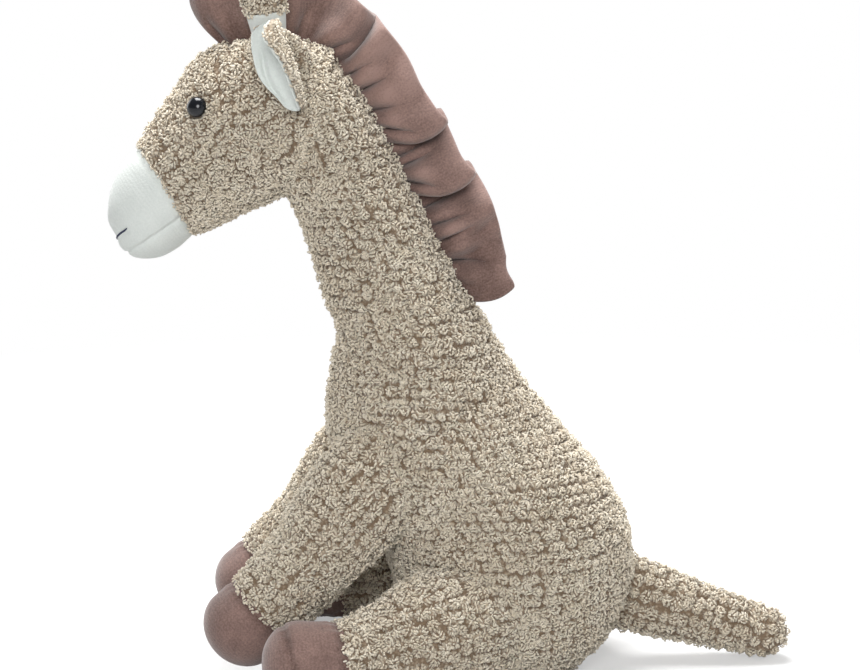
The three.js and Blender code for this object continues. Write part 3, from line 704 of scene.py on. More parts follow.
@dataclass(frozen=True)
class Pile:
    """The sherpa's pile: short curled yarn bits that stand in clusters.

    Attributes:
        spacing: the distance between clusters round the form.
        row_share: the distance between rows, as a share of the spacing.
        bits: yarn bits in a cluster.
        length: a bit's length.
        radius: a bit's radius.
        mound: how far the skin itself rises under a cluster.
        dome: how far a cluster's top stands over the skin.
        cover: how much of a half ball the cluster covers, from 0 to 1.
        scatter: jitter of the clusters, as a share of the spacing.
        sway: how far the rows and columns wave, as a share of the spacing.
        spread: a cluster's radius, as a share of the spacing.
        wander: spread of the bits' directions in a cluster, in radians.
        away: how strongly a bit heads away from its cluster's middle.
        common: how strongly it heads its cluster's own way.
        upright: how far a bit on top of its cluster stands up.
        flatter: how much less a bit at its cluster's rim stands up.
        stagger: shift of every other row, as a share of the spacing.
        level: the count of clusters in a row is a multiple of this, so that rows line up.
        margin: how far before the skin's last row the bits stop.
    """

    spacing: float = 5.5
    row_share: float = 0.95
    bits: int = 23
    length: float = 2.0
    radius: float = 0.52
    mound: float = 1.8
    dome: float = 1.7
    cover: float = 0.82
    scatter: float = 0.1
    spread: float = 0.5
    sway: float = 0.25
    wander: float = 0.35
    away: float = 0.7
    common: float = 0.6
    upright: float = 0.55
    flatter: float = 0.3
    stagger: float = 0.0
    level: int = 4
    margin: float = 0.9

    def clusters(self, patch: Patch, rng: np.random.Generator) -> tuple[Array, Array]:
        """Places of the clusters on a patch, in its rows and columns."""
        columns = patch.points.shape[1]
        reach = (len(patch.points) - 1) * patch.step
        count = max(2, int(reach / (self.spacing * self.row_share)))
        row = (np.arange(count) + 0.5) / count * (len(patch.points) - 1)
        girths = np.interp(row, np.arange(len(patch.points)), patch.girths)
        level = np.maximum(1, np.round(girths / self.spacing / self.level)) * self.level
        narrow = np.maximum(3, np.round(girths / self.spacing))
        around = np.where(girths < 6 * self.spacing, narrow, level).astype(int)
        line = np.repeat(np.arange(count), around)
        first = running(around[:-1])
        turn = (np.arange(len(line)) - first[line] + self.stagger * (line % 2)) / around[line]
        shake = rng.normal(0, self.scatter * self.spacing, (2, len(line)))
        shake[0] += self.sway * self.spacing * np.sin(turn * TURN * 3 + line * 0.37)
        shake[1] += self.sway * self.spacing * np.sin(turn * TURN * 2 + line * 0.6)
        rows = row[line] + shake[0] / patch.step
        share = turn + shake[1] / np.maximum(girths[line], 1)
        return rows, share * columns

    def mounded(self, patch: Patch, rows: Array, columns: Array) -> Patch:
        """The patch with the skin raised under each cluster, as 1 less distance over reach squared."""
        middles = patch.sample(patch.points, rows, columns)
        height, width = patch.points.shape[:2]
        nearest = np.full((height, width), FAR)
        reach = int(math.ceil(self.spacing * 0.75 / patch.step))
        shifts = np.arange(-reach, reach + 1)
        for row_shift in shifts:
            for column_shift in shifts:
                i = np.clip(np.round(rows).astype(int) + row_shift, 0, height - 1)
                j = (np.round(columns).astype(int) + column_shift) % width
                gap = np.linalg.norm(patch.points[i, j] - middles, axis=1)
                np.minimum.at(nearest, (i, j), gap)
        # The rise also sets the painted shade of the ground between the clusters
        rise = np.maximum(0, 1 - (nearest / (self.spacing * 0.62)) ** 2)
        return replace(patch.pushed(self.mound * rise), rise=rise)

    def grow(self, patch: Patch, keep: Keep, seed: int) -> tuple[Patch, "Bits"]:
        """Raises the skin under the clusters and grows their bits.

        Args:
            patch: the skin that carries them.
            keep: gives True for the roots that stay.
            seed: the seed of the scatter.

        Returns:
            The mounded skin, and the bits on it.
        """
        rng = np.random.default_rng(seed)
        rows, columns = self.clusters(patch, rng)
        patch = self.mounded(patch, rows, columns)
        many = len(rows)
        fall = 1 - self.cover * (np.arange(self.bits) + 0.5) / self.bits
        fall = np.clip(fall + rng.normal(0, 0.05, (many, self.bits)), 0.03, 1)
        angle = np.arange(self.bits) * GOLDEN_TURN + rng.uniform(0, TURN, (many, 1))
        angle = (angle + rng.normal(0, 0.15, angle.shape)).reshape(-1)
        size = (1 + rng.normal(0, 0.1, (many, 1))) * self.spacing * self.spread
        size = np.repeat(size, self.bits)
        fall = fall.reshape(-1)
        reach = np.sqrt(1 - fall**2)
        widths = np.interp(rows, np.arange(len(patch.points)), patch.girths) / patch.points.shape[1]
        widths = np.maximum(np.repeat(widths, self.bits), 0.05)
        row = np.repeat(rows, self.bits) + size * reach * np.sin(angle) / patch.step
        column = np.repeat(columns, self.bits) + size * reach * np.cos(angle) / widths
        inside = (row >= 0) & (row <= len(patch.points) - 1 - self.margin / patch.step)
        roots = patch.sample(patch.points, row, column)
        normal = unit(patch.sample(patch.normals, row, column))
        sideways = square_to(patch.sample(patch.around, row, column), normal)
        lengthways = np.cross(normal, sideways)
        outward = swung(sideways, lengthways, angle)
        lean = reach[:, None] * self.dome / (self.spacing * self.spread)
        facing = unit(normal * fall[:, None] + outward * lean)
        way = rng.uniform(0, TURN, (many, 1)) + rng.normal(0, self.wander, (many, self.bits))
        common = swung(sideways, lengthways, way.reshape(-1))
        upright = self.upright - self.flatter * reach[:, None]
        heading = unit(unit(outward * self.away + common * self.common) + facing * upright)
        facing = square_to(facing, heading)
        tall = np.repeat(1 + rng.normal(0, 0.1, many), self.bits)
        height = self.dome * fall * tall - 0.1 + rng.normal(0, 0.12, len(fall))
        tone = 0.5 + np.repeat(rng.normal(0, 0.14, many), self.bits) + rng.normal(0, 0.16, len(fall))
        kept = inside & keep(roots)
        return patch, Bits(
            roots[kept] + normal[kept] * height[kept, None],
            facing[kept],
            heading[kept],
            self.length * (1 + rng.normal(0, 0.18, len(fall)))[kept],
            self.radius * (1 + rng.normal(0, 0.12, len(fall)))[kept],
            np.clip(tone, 0, 1)[kept],
            # The lift, for the painted shade: lower for bits low in their cluster
            np.clip(0.02 + 1.25 * fall, 0, 1)[kept],
            rng.normal(0, 1, (len(fall), 3))[kept],
        )


@dataclass
class Bits:
    """Yarn bits, as one array for each property.

    Attributes:
        middle: a bit's middle.
        normal: the way that it faces.
        heading: the way that it runs.
        length: its length.
        radius: its radius.
        tone: its shade, from the deep yarn at 0 to the pale yarn at 1.
        lift: how high it stands in its cluster, from 0 to 1, which sets its painted shade.
        kink: three random numbers, for its arch, its bend and its tilt.
    """

    middle: Array
    normal: Array
    heading: Array
    length: Array
    radius: Array
    tone: Array
    lift: Array
    kink: Array

    def chosen(self, keep: Array) -> "Bits":
        """The bits for which `keep` is True."""
        return Bits(*(getattr(self, name)[keep] for name in self.__dataclass_fields__))

    def mesh(self, name: str, floor: float) -> Object:
        """Makes the bits as one mesh: each is two rings of three points and two bent tips.

        A point at s from -1 to 1 along a bit lies at the middle, plus the heading times half the
        length times s, less the normal times arch times s squared, plus a sideways kink.

        Args:
            name: the object's name.
            floor: the lowest height of a point.

        Returns:
            The object, with the tone and the lift of each point; the lift sets the painted shade.
        """
        count = len(self.middle)
        side = np.cross(self.normal, self.heading)
        arch = (0.4 + 0.2 * self.kink[:, 0])[:, None, None]
        bend = (0.2 * self.kink[:, 1])[:, None, None]
        tilt = (0.2 * self.kink[:, 2])[:, None, None]
        s = np.array([-1.0, -0.5, 0.55, 1.0])[None, :, None]
        spine = self.middle[:, None] + self.heading[:, None] * (self.length / 2)[:, None, None] * s
        spine = spine + self.normal[:, None] * (tilt * s - arch * s**2) + side[:, None] * bend * s**2
        turn = TURN * (0.25 + np.arange(3) / 3)
        circle = swung(side[:, None], self.normal[:, None], turn) * self.radius[:, None, None]
        rings = [spine[:, :1], spine[:, 1:2] + circle, spine[:, 2:3] + circle, spine[:, 3:]]
        points = np.concatenate(rings, axis=1)
        points[..., 2] = np.maximum(points[..., 2], floor)
        # Painted shade: the lift falls towards each bit's root end
        outer = np.array([0.55, 0.8, 0.8, 0.8, 1.0, 1.0, 1.0, 1.05])
        base = (np.arange(count) * len(outer))[:, None]
        quads = []
        triangles = []
        for k in range(3):
            after = (k + 1) % 3
            quads.append(base + np.array([1 + k, 1 + after, 4 + after, 4 + k]))
            triangles.append(base + np.array([0, 1 + after, 1 + k]))
            triangles.append(base + np.array([7, 4 + k, 4 + after]))
        faces = [np.concatenate(quads), np.concatenate(triangles)]
        made = mesh_object(name, points.reshape(-1, 3), faces)
        set_values(made, "tone", np.repeat(self.tone, len(outer)))
        set_values(made, "lift", self.lift[:, None] * outer)
        return made


# Materials


class Value:
    """A shader value that takes part in sums, products and comparisons."""

    def __init__(self, shader: "Shader", socket: bpy.types.NodeSocket) -> None:
        """Wraps a socket of a shader."""
        self.shader = shader
        self.socket = socket

    def _math(self, operation: str, *values: object) -> "Value":
        """One Math node over the values."""
        node = self.shader.node("ShaderNodeMath", {"operation": operation}, dict(enumerate(values)))
        return Value(self.shader, node.outputs[0])

    def __add__(self, other: object) -> "Value":
        """The sum of two values."""
        return self._math("ADD", self, other)

    def __sub__(self, other: object) -> "Value":
        """The value less another."""
        return self._math("SUBTRACT", self, other)

    def __rsub__(self, other: object) -> "Value":
        """A number less the value."""
        return self._math("SUBTRACT", other, self)

    def __mul__(self, other: object) -> "Value":
        """The product of two values."""
        return self._math("MULTIPLY", self, other)

    # A sum and a product are the same with the number first
    __radd__ = __add__
    __rmul__ = __mul__

    def sine(self) -> "Value":
        """The sine of the value, in radians."""
        return self._math("SINE", self)

    def larger(self, other: object) -> "Value":
        """The larger of two values."""
        return self._math("MAXIMUM", self, other)

    def smaller(self, other: object) -> "Value":
        """The smaller of two values."""
        return self._math("MINIMUM", self, other)

    def share(self) -> "Value":
        """The value, kept from 0 to 1."""
        return self.larger(0.0).smaller(1.0)


class Shader:
    """A material under construction."""

    def __init__(self, name: str) -> None:
        """Starts an empty material."""
        self.material = bpy.data.materials.new(name)
        self.material.use_nodes = True
        self.tree = self.material.node_tree
        self.tree.nodes.clear()
        self.output = self.tree.nodes.new("ShaderNodeOutputMaterial")

    def node(self, kind: str, settings: Named = None, inputs: Named = None) -> bpy.types.Node:
        """Adds a node.

        Args:
            kind: its type.
            settings: properties, set before the inputs.
            inputs: a number, a colour, a socket or a Value for each input's name or place.

        Returns:
            The node.
        """
        made = self.tree.nodes.new(kind)
        for name, value in (settings or {}).items():
            setattr(made, name, value)
        for name, value in (inputs or {}).items():
            if isinstance(value, Value):
                value = value.socket
            if isinstance(value, bpy.types.NodeSocket):
                self.tree.links.new(value, made.inputs[name])
            else:
                made.inputs[name].default_value = value
        return made

    def value(self, kind: str, output: str | int, settings: Named = None, inputs: Named = None) -> Value:
        """One output of a new node, by its name or place; the rest is as for `node`."""
        return Value(self, self.node(kind, settings, inputs).outputs[output])

    def place(self) -> Value:
        """The object's own coordinates."""
        return self.value("ShaderNodeTexCoord", "Object")

    def attribute(self, name: str) -> Value:
        """A number stored on the mesh."""
        return self.value("ShaderNodeAttribute", "Fac", {"attribute_name": name})

    def noise(self, scale: float, detail: float) -> Value:
        """Noise over the object's own coordinates."""
        inputs = {"Vector": self.place(), "Scale": scale, "Detail": detail}
        return self.value("ShaderNodeTexNoise", 0, {}, inputs)

    def blend(self, share: Value, first: object, second: object) -> Value:
        """A colour between two, by share."""
        node = self.node("ShaderNodeMix", {"data_type": "RGBA"}, {0: share, 6: first, 7: second})
        return Value(self, node.outputs[2])

    def bump(self, height: Value, distance: float, strength: float = 1.0) -> Value:
        """A bump from a height."""
        inputs = {"Height": height, "Distance": distance, "Strength": strength}
        return self.value("ShaderNodeBump", "Normal", {}, inputs)

    def surface(self, **inputs: object) -> Material:
        """Ends the material with a Principled shader; a name's underscores stand for spaces."""
        named = {name.replace("_", " "): value for name, value in inputs.items()}
        node = self.node("ShaderNodeBsdfPrincipled", {}, named)
        self.tree.links.new(node.outputs[0], self.output.inputs[0])
        return self.material


def shade(red: float, green: float, blue: float) -> tuple[float, float, float, float]:
    """A linear colour from screen values up to 255."""
    screen = np.array([red, green, blue]) / 255
    low = screen / 12.92
    high = ((screen + 0.055) / 1.055) ** 2.4
    linear = np.where(screen <= 0.04045, low, high)
    return (float(linear[0]), float(linear[1]), float(linear[2]), 1.0)


@dataclass(frozen=True)
class SherpaFinish:
    """The colours of the sherpa's yarn, and of the painted shade between its clusters.

    Attributes:
        pale: the lightest yarn.
        deep: the darkest yarn.
        gap: painted shade: the dark colour put deep between the clusters and low on the bits.
        backing: the plain knitted backing that shows along a seam.
        grain: how many yarn ends show along a metre of the ground.
        fibre: how many fibres show along a metre of yarn.
    """

    pale: tuple = shade(246, 238, 221)
    deep: tuple = shade(227, 213, 190)
    # Painted shade: a dark brown that stands in for the shade deep in the pile
    gap: tuple = shade(133, 113, 91)
    backing: tuple = shade(212, 205, 190)
    grain: float = 620.0
    fibre: float = 2600.0

    def matt(self, shader: Shader, colour: Value, normal: Value) -> Material:
        """Ends a material with the matt, softly glowing surface of wool."""
        return shader.surface(
            Base_Color=colour, Roughness=0.95, Sheen_Weight=0.3, Sheen_Roughness=0.5, Normal=normal
        )

    def pile(self) -> Material:
        """Yarn that is lighter at the tips and varies from bit to bit; its darkening towards the roots and
        low in the clusters, down to the gap colour, is painted shade.
        """
        shader = Shader("sherpa_pile")
        tone = shader.attribute("tone")
        lift = shader.attribute("lift")
        cloud = shader.noise(38.0, 1.0)
        paleness = (tone * 0.8 + cloud * 0.4 - 0.1).share()
        yarn = shader.blend(paleness, self.deep, self.pale)
        # Painted shade: the gap colour where the lift is low, at the bits' roots and low in each cluster
        rise = (lift * 1.25).smaller(1.0)
        colour = shader.blend(rise, self.gap, yarn)
        return self.matt(shader, colour, shader.bump(shader.noise(self.fibre, 3.0), 0.0004, 0.5))

    def ground(self) -> Material:
        """The skin under the pile: the ends of the lower yarn, painted shade round them and between the
        clusters, and the backing along the seams.
        """
        shader = Shader("sherpa_ground")
        backing = shader.attribute("backing")
        inputs = {"Vector": shader.place(), "Scale": self.grain}
        cells = shader.node("ShaderNodeTexVoronoi", {}, inputs)
        distance = Value(shader, cells.outputs["Distance"])
        chance = shader.value("ShaderNodeSeparateColor", 0, {}, {0: cells.outputs["Color"]})
        # Painted shade: darker towards the edge of each yarn end's cell
        ends = (1.25 - distance * 1.5).share()
        yarn = shader.blend(chance, self.gap, self.deep)
        # Painted shade: the gap colour where the skin is low between the clusters and round the yarn ends
        low = (ends * 0.9 + shader.attribute("rise") * 0.8 - 0.4).share()
        colour = shader.blend(backing, shader.blend(low, self.gap, yarn), self.backing)
        height = ends * (1.0 - backing) * 0.0006 + shader.noise(self.fibre, 3.0) * 0.0002
        return self.matt(shader, colour, shader.bump(height, 1.0))


@dataclass(frozen=True)
class VelvetFinish:
    """A velvet of one colour.

    Attributes:
        name: the material's name.
        pale: its colour where the pile lies away, and in painted light.
        deep: its colour where the pile lies towards the eye, and in painted shade.
        sheen: how strongly the pile catches light at the rims.
        rib: the distance between the knit's lines, in metres.
        rib_height: how far the lines stand out, in metres.
    """

    name: str
    pale: tuple
    deep: tuple
    sheen: float
    rib: float = 0.0019
    rib_height: float = 0.00003

    def material(self) -> Material:
        """Velvet with faint knit lines and cloudy patches, paler where `rise` is above 1 and darker below
        it; on the mane that is painted light and shade.
        """
        shader = Shader(self.name)
        flat = shader.value("ShaderNodeAttribute", "Vector", {"attribute_name": "cloth"})
        waves = shader.value("ShaderNodeSeparateXYZ", 1, {}, {0: flat}) * (TURN / self.rib)
        wander = shader.noise(160.0, 1.0) * 3.0
        ribs = (waves + wander).sine() * 0.5 + 0.5
        cloud = shader.noise(60.0, 2.0)
        grain = shader.noise(1100.0, 4.0)
        # Painted light and shade of the mane's folds from the stored rise, and darker along the hooves'
        # seams
        painted_light_and_seams = (shader.attribute("rise") - 1.0) * 0.8
        paleness = (cloud * 0.9 + grain * 1.2 + ribs * 0.08 + painted_light_and_seams - 0.6).share()
        colour = shader.blend(paleness, self.deep, self.pale)
        height = ribs * self.rib_height + grain * 0.0002
        normal = shader.bump(height, 1.0)
        return shader.surface(
            Base_Color=colour, Roughness=0.9, Sheen_Weight=self.sheen, Sheen_Roughness=0.5, Normal=normal
        )


@dataclass(frozen=True)
class PlainFinish:
    """A plain finish with a faint grain.

    Attributes:
        name: the material's name.
        colour: its base colour.
        roughness: its roughness.
        coat: the weight of its clear coat.
        shine: the level of its reflection, 0.5 for a plain surface.
    """

    name: str
    colour: tuple
    roughness: float
    coat: float = 0.0
    shine: float = 0.5

    def material(self) -> Material:
        """The material, with a little noise on its roughness."""
        shader = Shader(self.name)
        grain = shader.noise(900.0, 2.0)
        return shader.surface(
            Base_Color=self.colour,
            Roughness=grain * 0.1 + (self.roughness - 0.05),
            Specular_IOR_Level=self.shine,
            Coat_Weight=self.coat,
            Coat_Roughness=0.06,
        )


class Wardrobe:
    """The materials of the toy, each made once, and the pieces that are made of them."""

    def __init__(self) -> None:
        """Makes the materials."""
        self.pile_yarn = SherpaFinish().pile()
        mauve = VelvetFinish("mauve_velvet", shade(156, 127, 118), shade(86, 64, 57), 0.4)
        cream = VelvetFinish("cream_velvet", shade(222, 226, 222), shade(205, 211, 207), 0.3)
        gloss = PlainFinish("eye_gloss", shade(16, 18, 24), 0.2, 0.3, 0.3)
        self.materials = {
            Slot.SHERPA: SherpaFinish().ground(),
            Slot.MAUVE: mauve.material(),
            Slot.CREAM: cream.material(),
            Slot.EYE: gloss.material(),
            Slot.WASHER: PlainFinish("washer_plastic", shade(220, 220, 216), 0.5).material(),
            Slot.THREAD: PlainFinish("navy_thread", shade(32, 38, 66), 0.8).material(),
        }

    def dress(self, obj: Object, slot: Slot, material: Material | None = None) -> Object:
        """Gives a piece the slot's material or another one."""
        obj.data.materials.append(material or self.materials[slot])
        return obj

    def skin(self, slot: Slot, name: str, patch: Patch, backing: Array | None = None) -> Object:
        """A closed skin from a grid, dressed; the rest is as for skin_object."""
        return self.dress(skin_object(name, patch, backing), slot)

    def rider(self, slot: Slot, name: str, patch: Patch, body: str, *nodes: str) -> Object:
        """A dressed skin that takes the place of CAD nodes and rides on one body."""
        made = self.skin(slot, name, patch)
        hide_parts(*nodes)
        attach(made, body)
        return made

    def pile(self, bits: Bits, name: str, floor: float = BIT_FLOOR) -> Object:
        """Yarn bits as one piece of pile, dressed."""
        return self.dress(bits.mesh(name, floor), Slot.SHERPA, self.pile_yarn)


# Sub-assemblies


@dataclass
class Forms:
    """The padded forms that meet each other, for dropping pile inside a neighbour."""

    trunk: PaddedForm
    head: PaddedForm
    tail: PaddedForm
    legs: dict[tuple[LegKind, Side], PaddedForm]

    @classmethod
    def make(cls) -> "Forms":
        """The forms of the CAD source."""
        stations = {LegKind.FRONT: FRONT_LEG_STATIONS, LegKind.HIND: HIND_LEG_STATIONS}
        return cls(
            trunk=PaddedForm(sagittal_rings(BODY_STATIONS), 10),
            head=PaddedForm(sagittal_rings(HEAD_STATIONS), 5),
            tail=PaddedForm(sagittal_rings(TAIL_STATIONS), 14),
            legs={
                (kind, side): PaddedForm(spine_rings(stations[kind], side), 19)
                for kind in LegKind
                for side in Side
            },
        )

    def clear_of(self, *others: PaddedForm, sunk: float = 3.2) -> Keep:
        """A test that is True for points not sunk in any of the other forms."""
        return lambda points: np.all([form.depth(points) > -sunk for form in others], axis=0)


def everywhere(points: Array) -> Array:
    """A test that is True for all points."""
    return np.ones(len(points), bool)


PILE = Pile()


@dataclass
class Trunk:
    """Body and neck: one padded skin.

    Attributes:
        filling: what swells the skin.
        step: the distance between the skin's points.
        seam: how far the pile keeps off a seam's line.
        neck_from: the height above which a panel belongs to the neck.
        gusset_half: half the chest gusset's width.
        gusset_front: the gusset lies in front of this x.
        seat_half: half the seat panel's length and half its width.
        bend_from: where the bend between body and neck starts, in metres; not used.
        bend_to: where it ends; not used.
        gusset_path: the seam beside the chest gusset, on the right side.
        crease_path: the throat crease, on the right side.
        spine_path: the seam down the back.
    """

    forms: Forms
    wardrobe: Wardrobe
    filling: Filling = Filling(grid=5.0, cap=1.8, smaller=1.2)
    step: float = 1.3
    seam: float = 1.1
    neck_from: float = 160.0
    gusset_half: float = 34.0
    gusset_front: float = -42.0
    seat_half: tuple = (31.0, 33.0)
    bend_from: tuple = (-0.034, 0, 0.138)
    bend_to: tuple = (-0.052, 0, 0.184)
    gusset_path: tuple = ((-62, 39, 152), (-71, 36, 136), (-82, 27, 118), (-84, 21, 104), (-78, 20, 86))
    crease_path: tuple = ((-88, 0, 168), (-82, 20, 167), (-72, 32, 163), (-60, 39, 158), (-50, 41, 152))
    spine_path: tuple = ((40, 0, 0), (60, 0, 24), (67.5, 0, 50), (63.5, 0, 76), (51, 0, 98), (34.5, 0, 117))

    def grooves(self) -> list[Groove]:
        """The seams and the throat crease, on both sides."""
        made = [Groove(self.spine_path, 1.8, 4.0)]
        for side in Side:
            made.append(Groove(tuple(side.of(point) for point in self.gusset_path), 2.8, 4.5))
            made.append(Groove(tuple(side.of(point) for point in self.crease_path), 4.4, 5.0, False))
        return made

    def held(self, patch: Patch, grooves: list[Groove]) -> Array:
        """How firmly the cloth is held: at the grooves, under the mane, on the floor and at its ends."""
        under_mane = bell(patch.points[..., 1], 8) * smooth(0.0, 0.3, patch.normals[..., 0])
        at_grooves = bell(gap_to(grooves, patch.points), 6)
        on_floor = bell(patch.points[..., 2], 5)
        held = np.maximum.reduce([at_grooves, under_mane, on_floor])
        held[:3] = 1
        held[-8:] = 1
        return held

    def build(self) -> None:
        """Makes the skin and the pile of its panels."""
        patch = self.forms.trunk.patch(SKIN_INSET, self.step)
        grooves = self.grooves()
        patch = self.filling.swell(patch, self.held(patch, grooves))
        patch = patch.pushed(-sum(groove.draw(patch.points) for groove in grooves))
        seams = [groove for groove in grooves if groove.sewn]
        clear = self.forms.clear_of(self.forms.head, self.forms.tail, *self.forms.legs.values())

        def keep(points: Array) -> Array:
            """Bits that no seam, floor or neighbour takes away."""
            return clear(points) & (gap_to(seams, points) > self.seam) & (points[:, 2] > ROOT_FLOOR)

        patch, bits = PILE.grow(patch, keep, 11)
        backing = 1 - smooth(1.0, 3.0, gap_to(seams, patch.points))
        skin = self.wardrobe.skin(Slot.SHERPA, "trunk_skin", above_floor(patch), backing)
        sewn = ("body_panel_left", "body_panel_right", "chest_gusset", "neck_panel_left", "neck_panel_right")
        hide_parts(*sewn, "neck_stuffing", "body_stuffing", "pellet_bag")
        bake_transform(skin)
        x, y, z = bits.middle.T
        low = z < self.neck_from
        left = y < 0
        gusset = low & (np.abs(y) < self.gusset_half) & (x < self.gusset_front)
        panels = {
            "chest_gusset_pile": gusset,
            "body_pile_left": low & ~gusset & left,
            "body_pile_right": low & ~gusset & ~left,
            "neck_pile_left": ~low & left,
            "neck_pile_right": ~low & ~left,
        }
        for name, chosen in panels.items():
            pile = self.wardrobe.pile(bits.chosen(chosen), name)
            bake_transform(pile)
        self.build_seat()

    def build_seat(self) -> None:
        """The oval base panel under the rump: rings that close in above and below its edge."""
        shares = np.array([0.5, 0.97, 1.0, 1.0, 0.97, 0.5])
        heights = np.array([0.02, 0.02, 0.3, 2.4, 2.9, 2.9])
        middle = np.array([1.0, 0.0, 0.0])
        long = np.array([self.seat_half[0], 0, 0])
        wide = np.array([0, self.seat_half[1], 0])
        oval = swung(long, wide, turns(72))
        points = middle + oval * shares[:, None, None] + UP * heights[:, None, None]
        poles = middle + UP * heights[[0, -1], None]
        patch = Patch(points, points.mean(axis=1), np.arange(6.0), poles)
        seat = self.wardrobe.skin(Slot.SHERPA, "seat_cloth", patch, np.ones(points.shape[:2]))
        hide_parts("seat_panel")
        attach(seat, "torso")


@dataclass
class Head:
    """The sherpa head with its velvet muzzle and chin, eyes and mouth.

    Attributes:
        step: the distance between the skin's points.
        muzzle_place: the place of the seam between sherpa and muzzle, at the top.
        muzzle_bow: how far back the seam runs at the sides.
        muzzle_tilt: how much further back it runs at the bottom than at the top.
        muzzle_front: the muzzle's front lies before this x.
        eye_behind: how far the eye lies behind the nose.
        eye_above: how far it lies above the nose.
        eye_radius: the radius of its dome.
        eye_height: the height of its dome.
        chin_path: the seam between muzzle and chin, as two points (x, z).
        mouth_half: half the mouth's width.
        mouth_middle: the mouth's height in its middle.
        mouth_rise: how much higher its ends lie.
        notch: how deep it lies in the velvet.
        thread_radius: the radius of its thread.
    """

    forms: Forms
    wardrobe: Wardrobe
    step: float = 1.3
    muzzle_place: float = 8.0
    muzzle_bow: float = 2.4
    muzzle_tilt: float = 5.6
    muzzle_front: float = -172.0
    eye_behind: float = 47.5
    eye_above: float = 55.5
    eye_radius: float = 5.2
    eye_height: float = 4.4
    chin_path: tuple = ((-150, 234.5), (-190, 207.5))
    mouth_half: float = 20.0
    mouth_middle: float = 217.0
    mouth_rise: float = 8.0
    notch: float = 2.0
    thread_radius: float = 0.52

    def build(self) -> None:
        """Makes every piece of the head."""
        self.build_sherpa()
        muzzle = self.build_muzzle()
        self.build_mouth(muzzle)
        for side in Side:
            self.build_eye(side)

    def eye_seat(self, side: Side) -> tuple[Array, Array]:
        """Where an eye sits on the outer surface, and the surface's normal there."""
        nose_x, nose_z = HEAD_STATIONS[-1][0]
        patch = self.forms.head.patch(0, 1.0)
        points = patch.points.reshape(-1, 3)
        normals = patch.normals.reshape(-1, 3)
        behind = points[:, 0] - (nose_x + self.eye_behind)
        above = points[:, 2] - (nose_z + self.eye_above)
        distance = np.hypot(behind, above)
        distance[points[:, 1] * side.value < 0] = FAR
        found = distance.argmin()
        return points[found], normals[found]

    def bow(self, patch: Patch) -> Array:
        """How far back the muzzle's seam runs beside its top and its bottom, for each column."""
        turn = turns(patch.points.shape[1])
        return self.muzzle_bow * np.sin(turn) ** 2 + self.muzzle_tilt * (1 - np.cos(turn)) / 2

    def build_sherpa(self) -> None:
        """The sherpa part of the head and its pile."""
        form = self.forms.head
        patch = form.patch(SKIN_INSET, self.step, 0, self.muzzle_place)
        patch = patch.slid(-self.bow(patch) * smooth(3.5, self.muzzle_place, patch.places)[:, None])
        crown = Groove(tuple((x, 0, z) for (x, z), _, _ in HEAD_STATIONS[:9]), 1.2, 4.0)
        drawn = crown.draw(patch.points) + 1.2 * bell(patch.places - self.muzzle_place, 0.22)[:, None]
        seats = [self.eye_seat(side)[0] for side in Side]
        for seat in seats:
            drawn = drawn + 1.6 * bell(np.linalg.norm(patch.points - seat, axis=-1), 9.0)
        patch = patch.pushed(-drawn)
        clear = self.forms.clear_of(self.forms.trunk)

        def keep(points: Array) -> Array:
            """Bits that no neighbour or eye takes away."""
            gaps = [np.linalg.norm(points - seat, axis=1) for seat in seats]
            return clear(points) & (np.min(gaps, axis=0) > self.eye_radius - 0.7)

        pile = replace(PILE, spacing=5.0, bits=20, scatter=0.12, sway=0.12, stagger=0.5, level=1)
        patch, bits = pile.grow(patch, keep, 23)
        nodes = ("head_panel_left", "head_panel_right", "head_stuffing")
        skin = self.wardrobe.rider(Slot.SHERPA, "head_skin", patch, "neck", *nodes)
        for side in Side:
            chosen = bits.middle[:, 1] * side.value >= 0
            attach(self.wardrobe.pile(bits.chosen(chosen), f"head_pile_{side.word}"), "neck")

    def build_muzzle(self) -> Patch:
        """The velvet muzzle and chin, with the seam between them drawn in."""
        form = self.forms.head
        start = self.muzzle_place - 0.6
        patch = form.patch(VELVET_INSET, 0.9, start).softened(form.last, 0.9, 40)
        onward = self.bow(patch).max() - self.bow(patch)
        patch = patch.slid(onward * (1 - smooth(start, self.muzzle_place + 2, patch.places))[:, None])
        lip = 1.6 * bell(patch.places - start, 0.3)
        x, y, z = np.moveaxis(patch.points, -1, 0)
        (back_x, back_z), (front_x, front_z) = self.chin_path
        slope = unit(np.array([front_x - back_x, front_z - back_z]))
        from_seam = (x - back_x) * slope[1] - (z - back_z) * slope[0]
        seam = bell(from_seam, 1.0) + 0.6 * bell(from_seam, 4.0)
        share = y / self.mouth_half
        from_mouth = z - self.mouth_middle - self.mouth_rise * share**2
        wide = np.where(from_mouth > 0, 7.5, 4.0)
        notch = self.notch * bell(from_mouth, wide) * np.exp(-((share / 1.15) ** 4))
        notch = notch * smooth(self.muzzle_front, self.muzzle_front - 14, x)
        patch = patch.pushed(-lip[:, None] - seam - notch)
        muzzle = self.wardrobe.rider(Slot.CREAM, "muzzle_velvet", patch, "neck", "muzzle", "chin")
        return patch

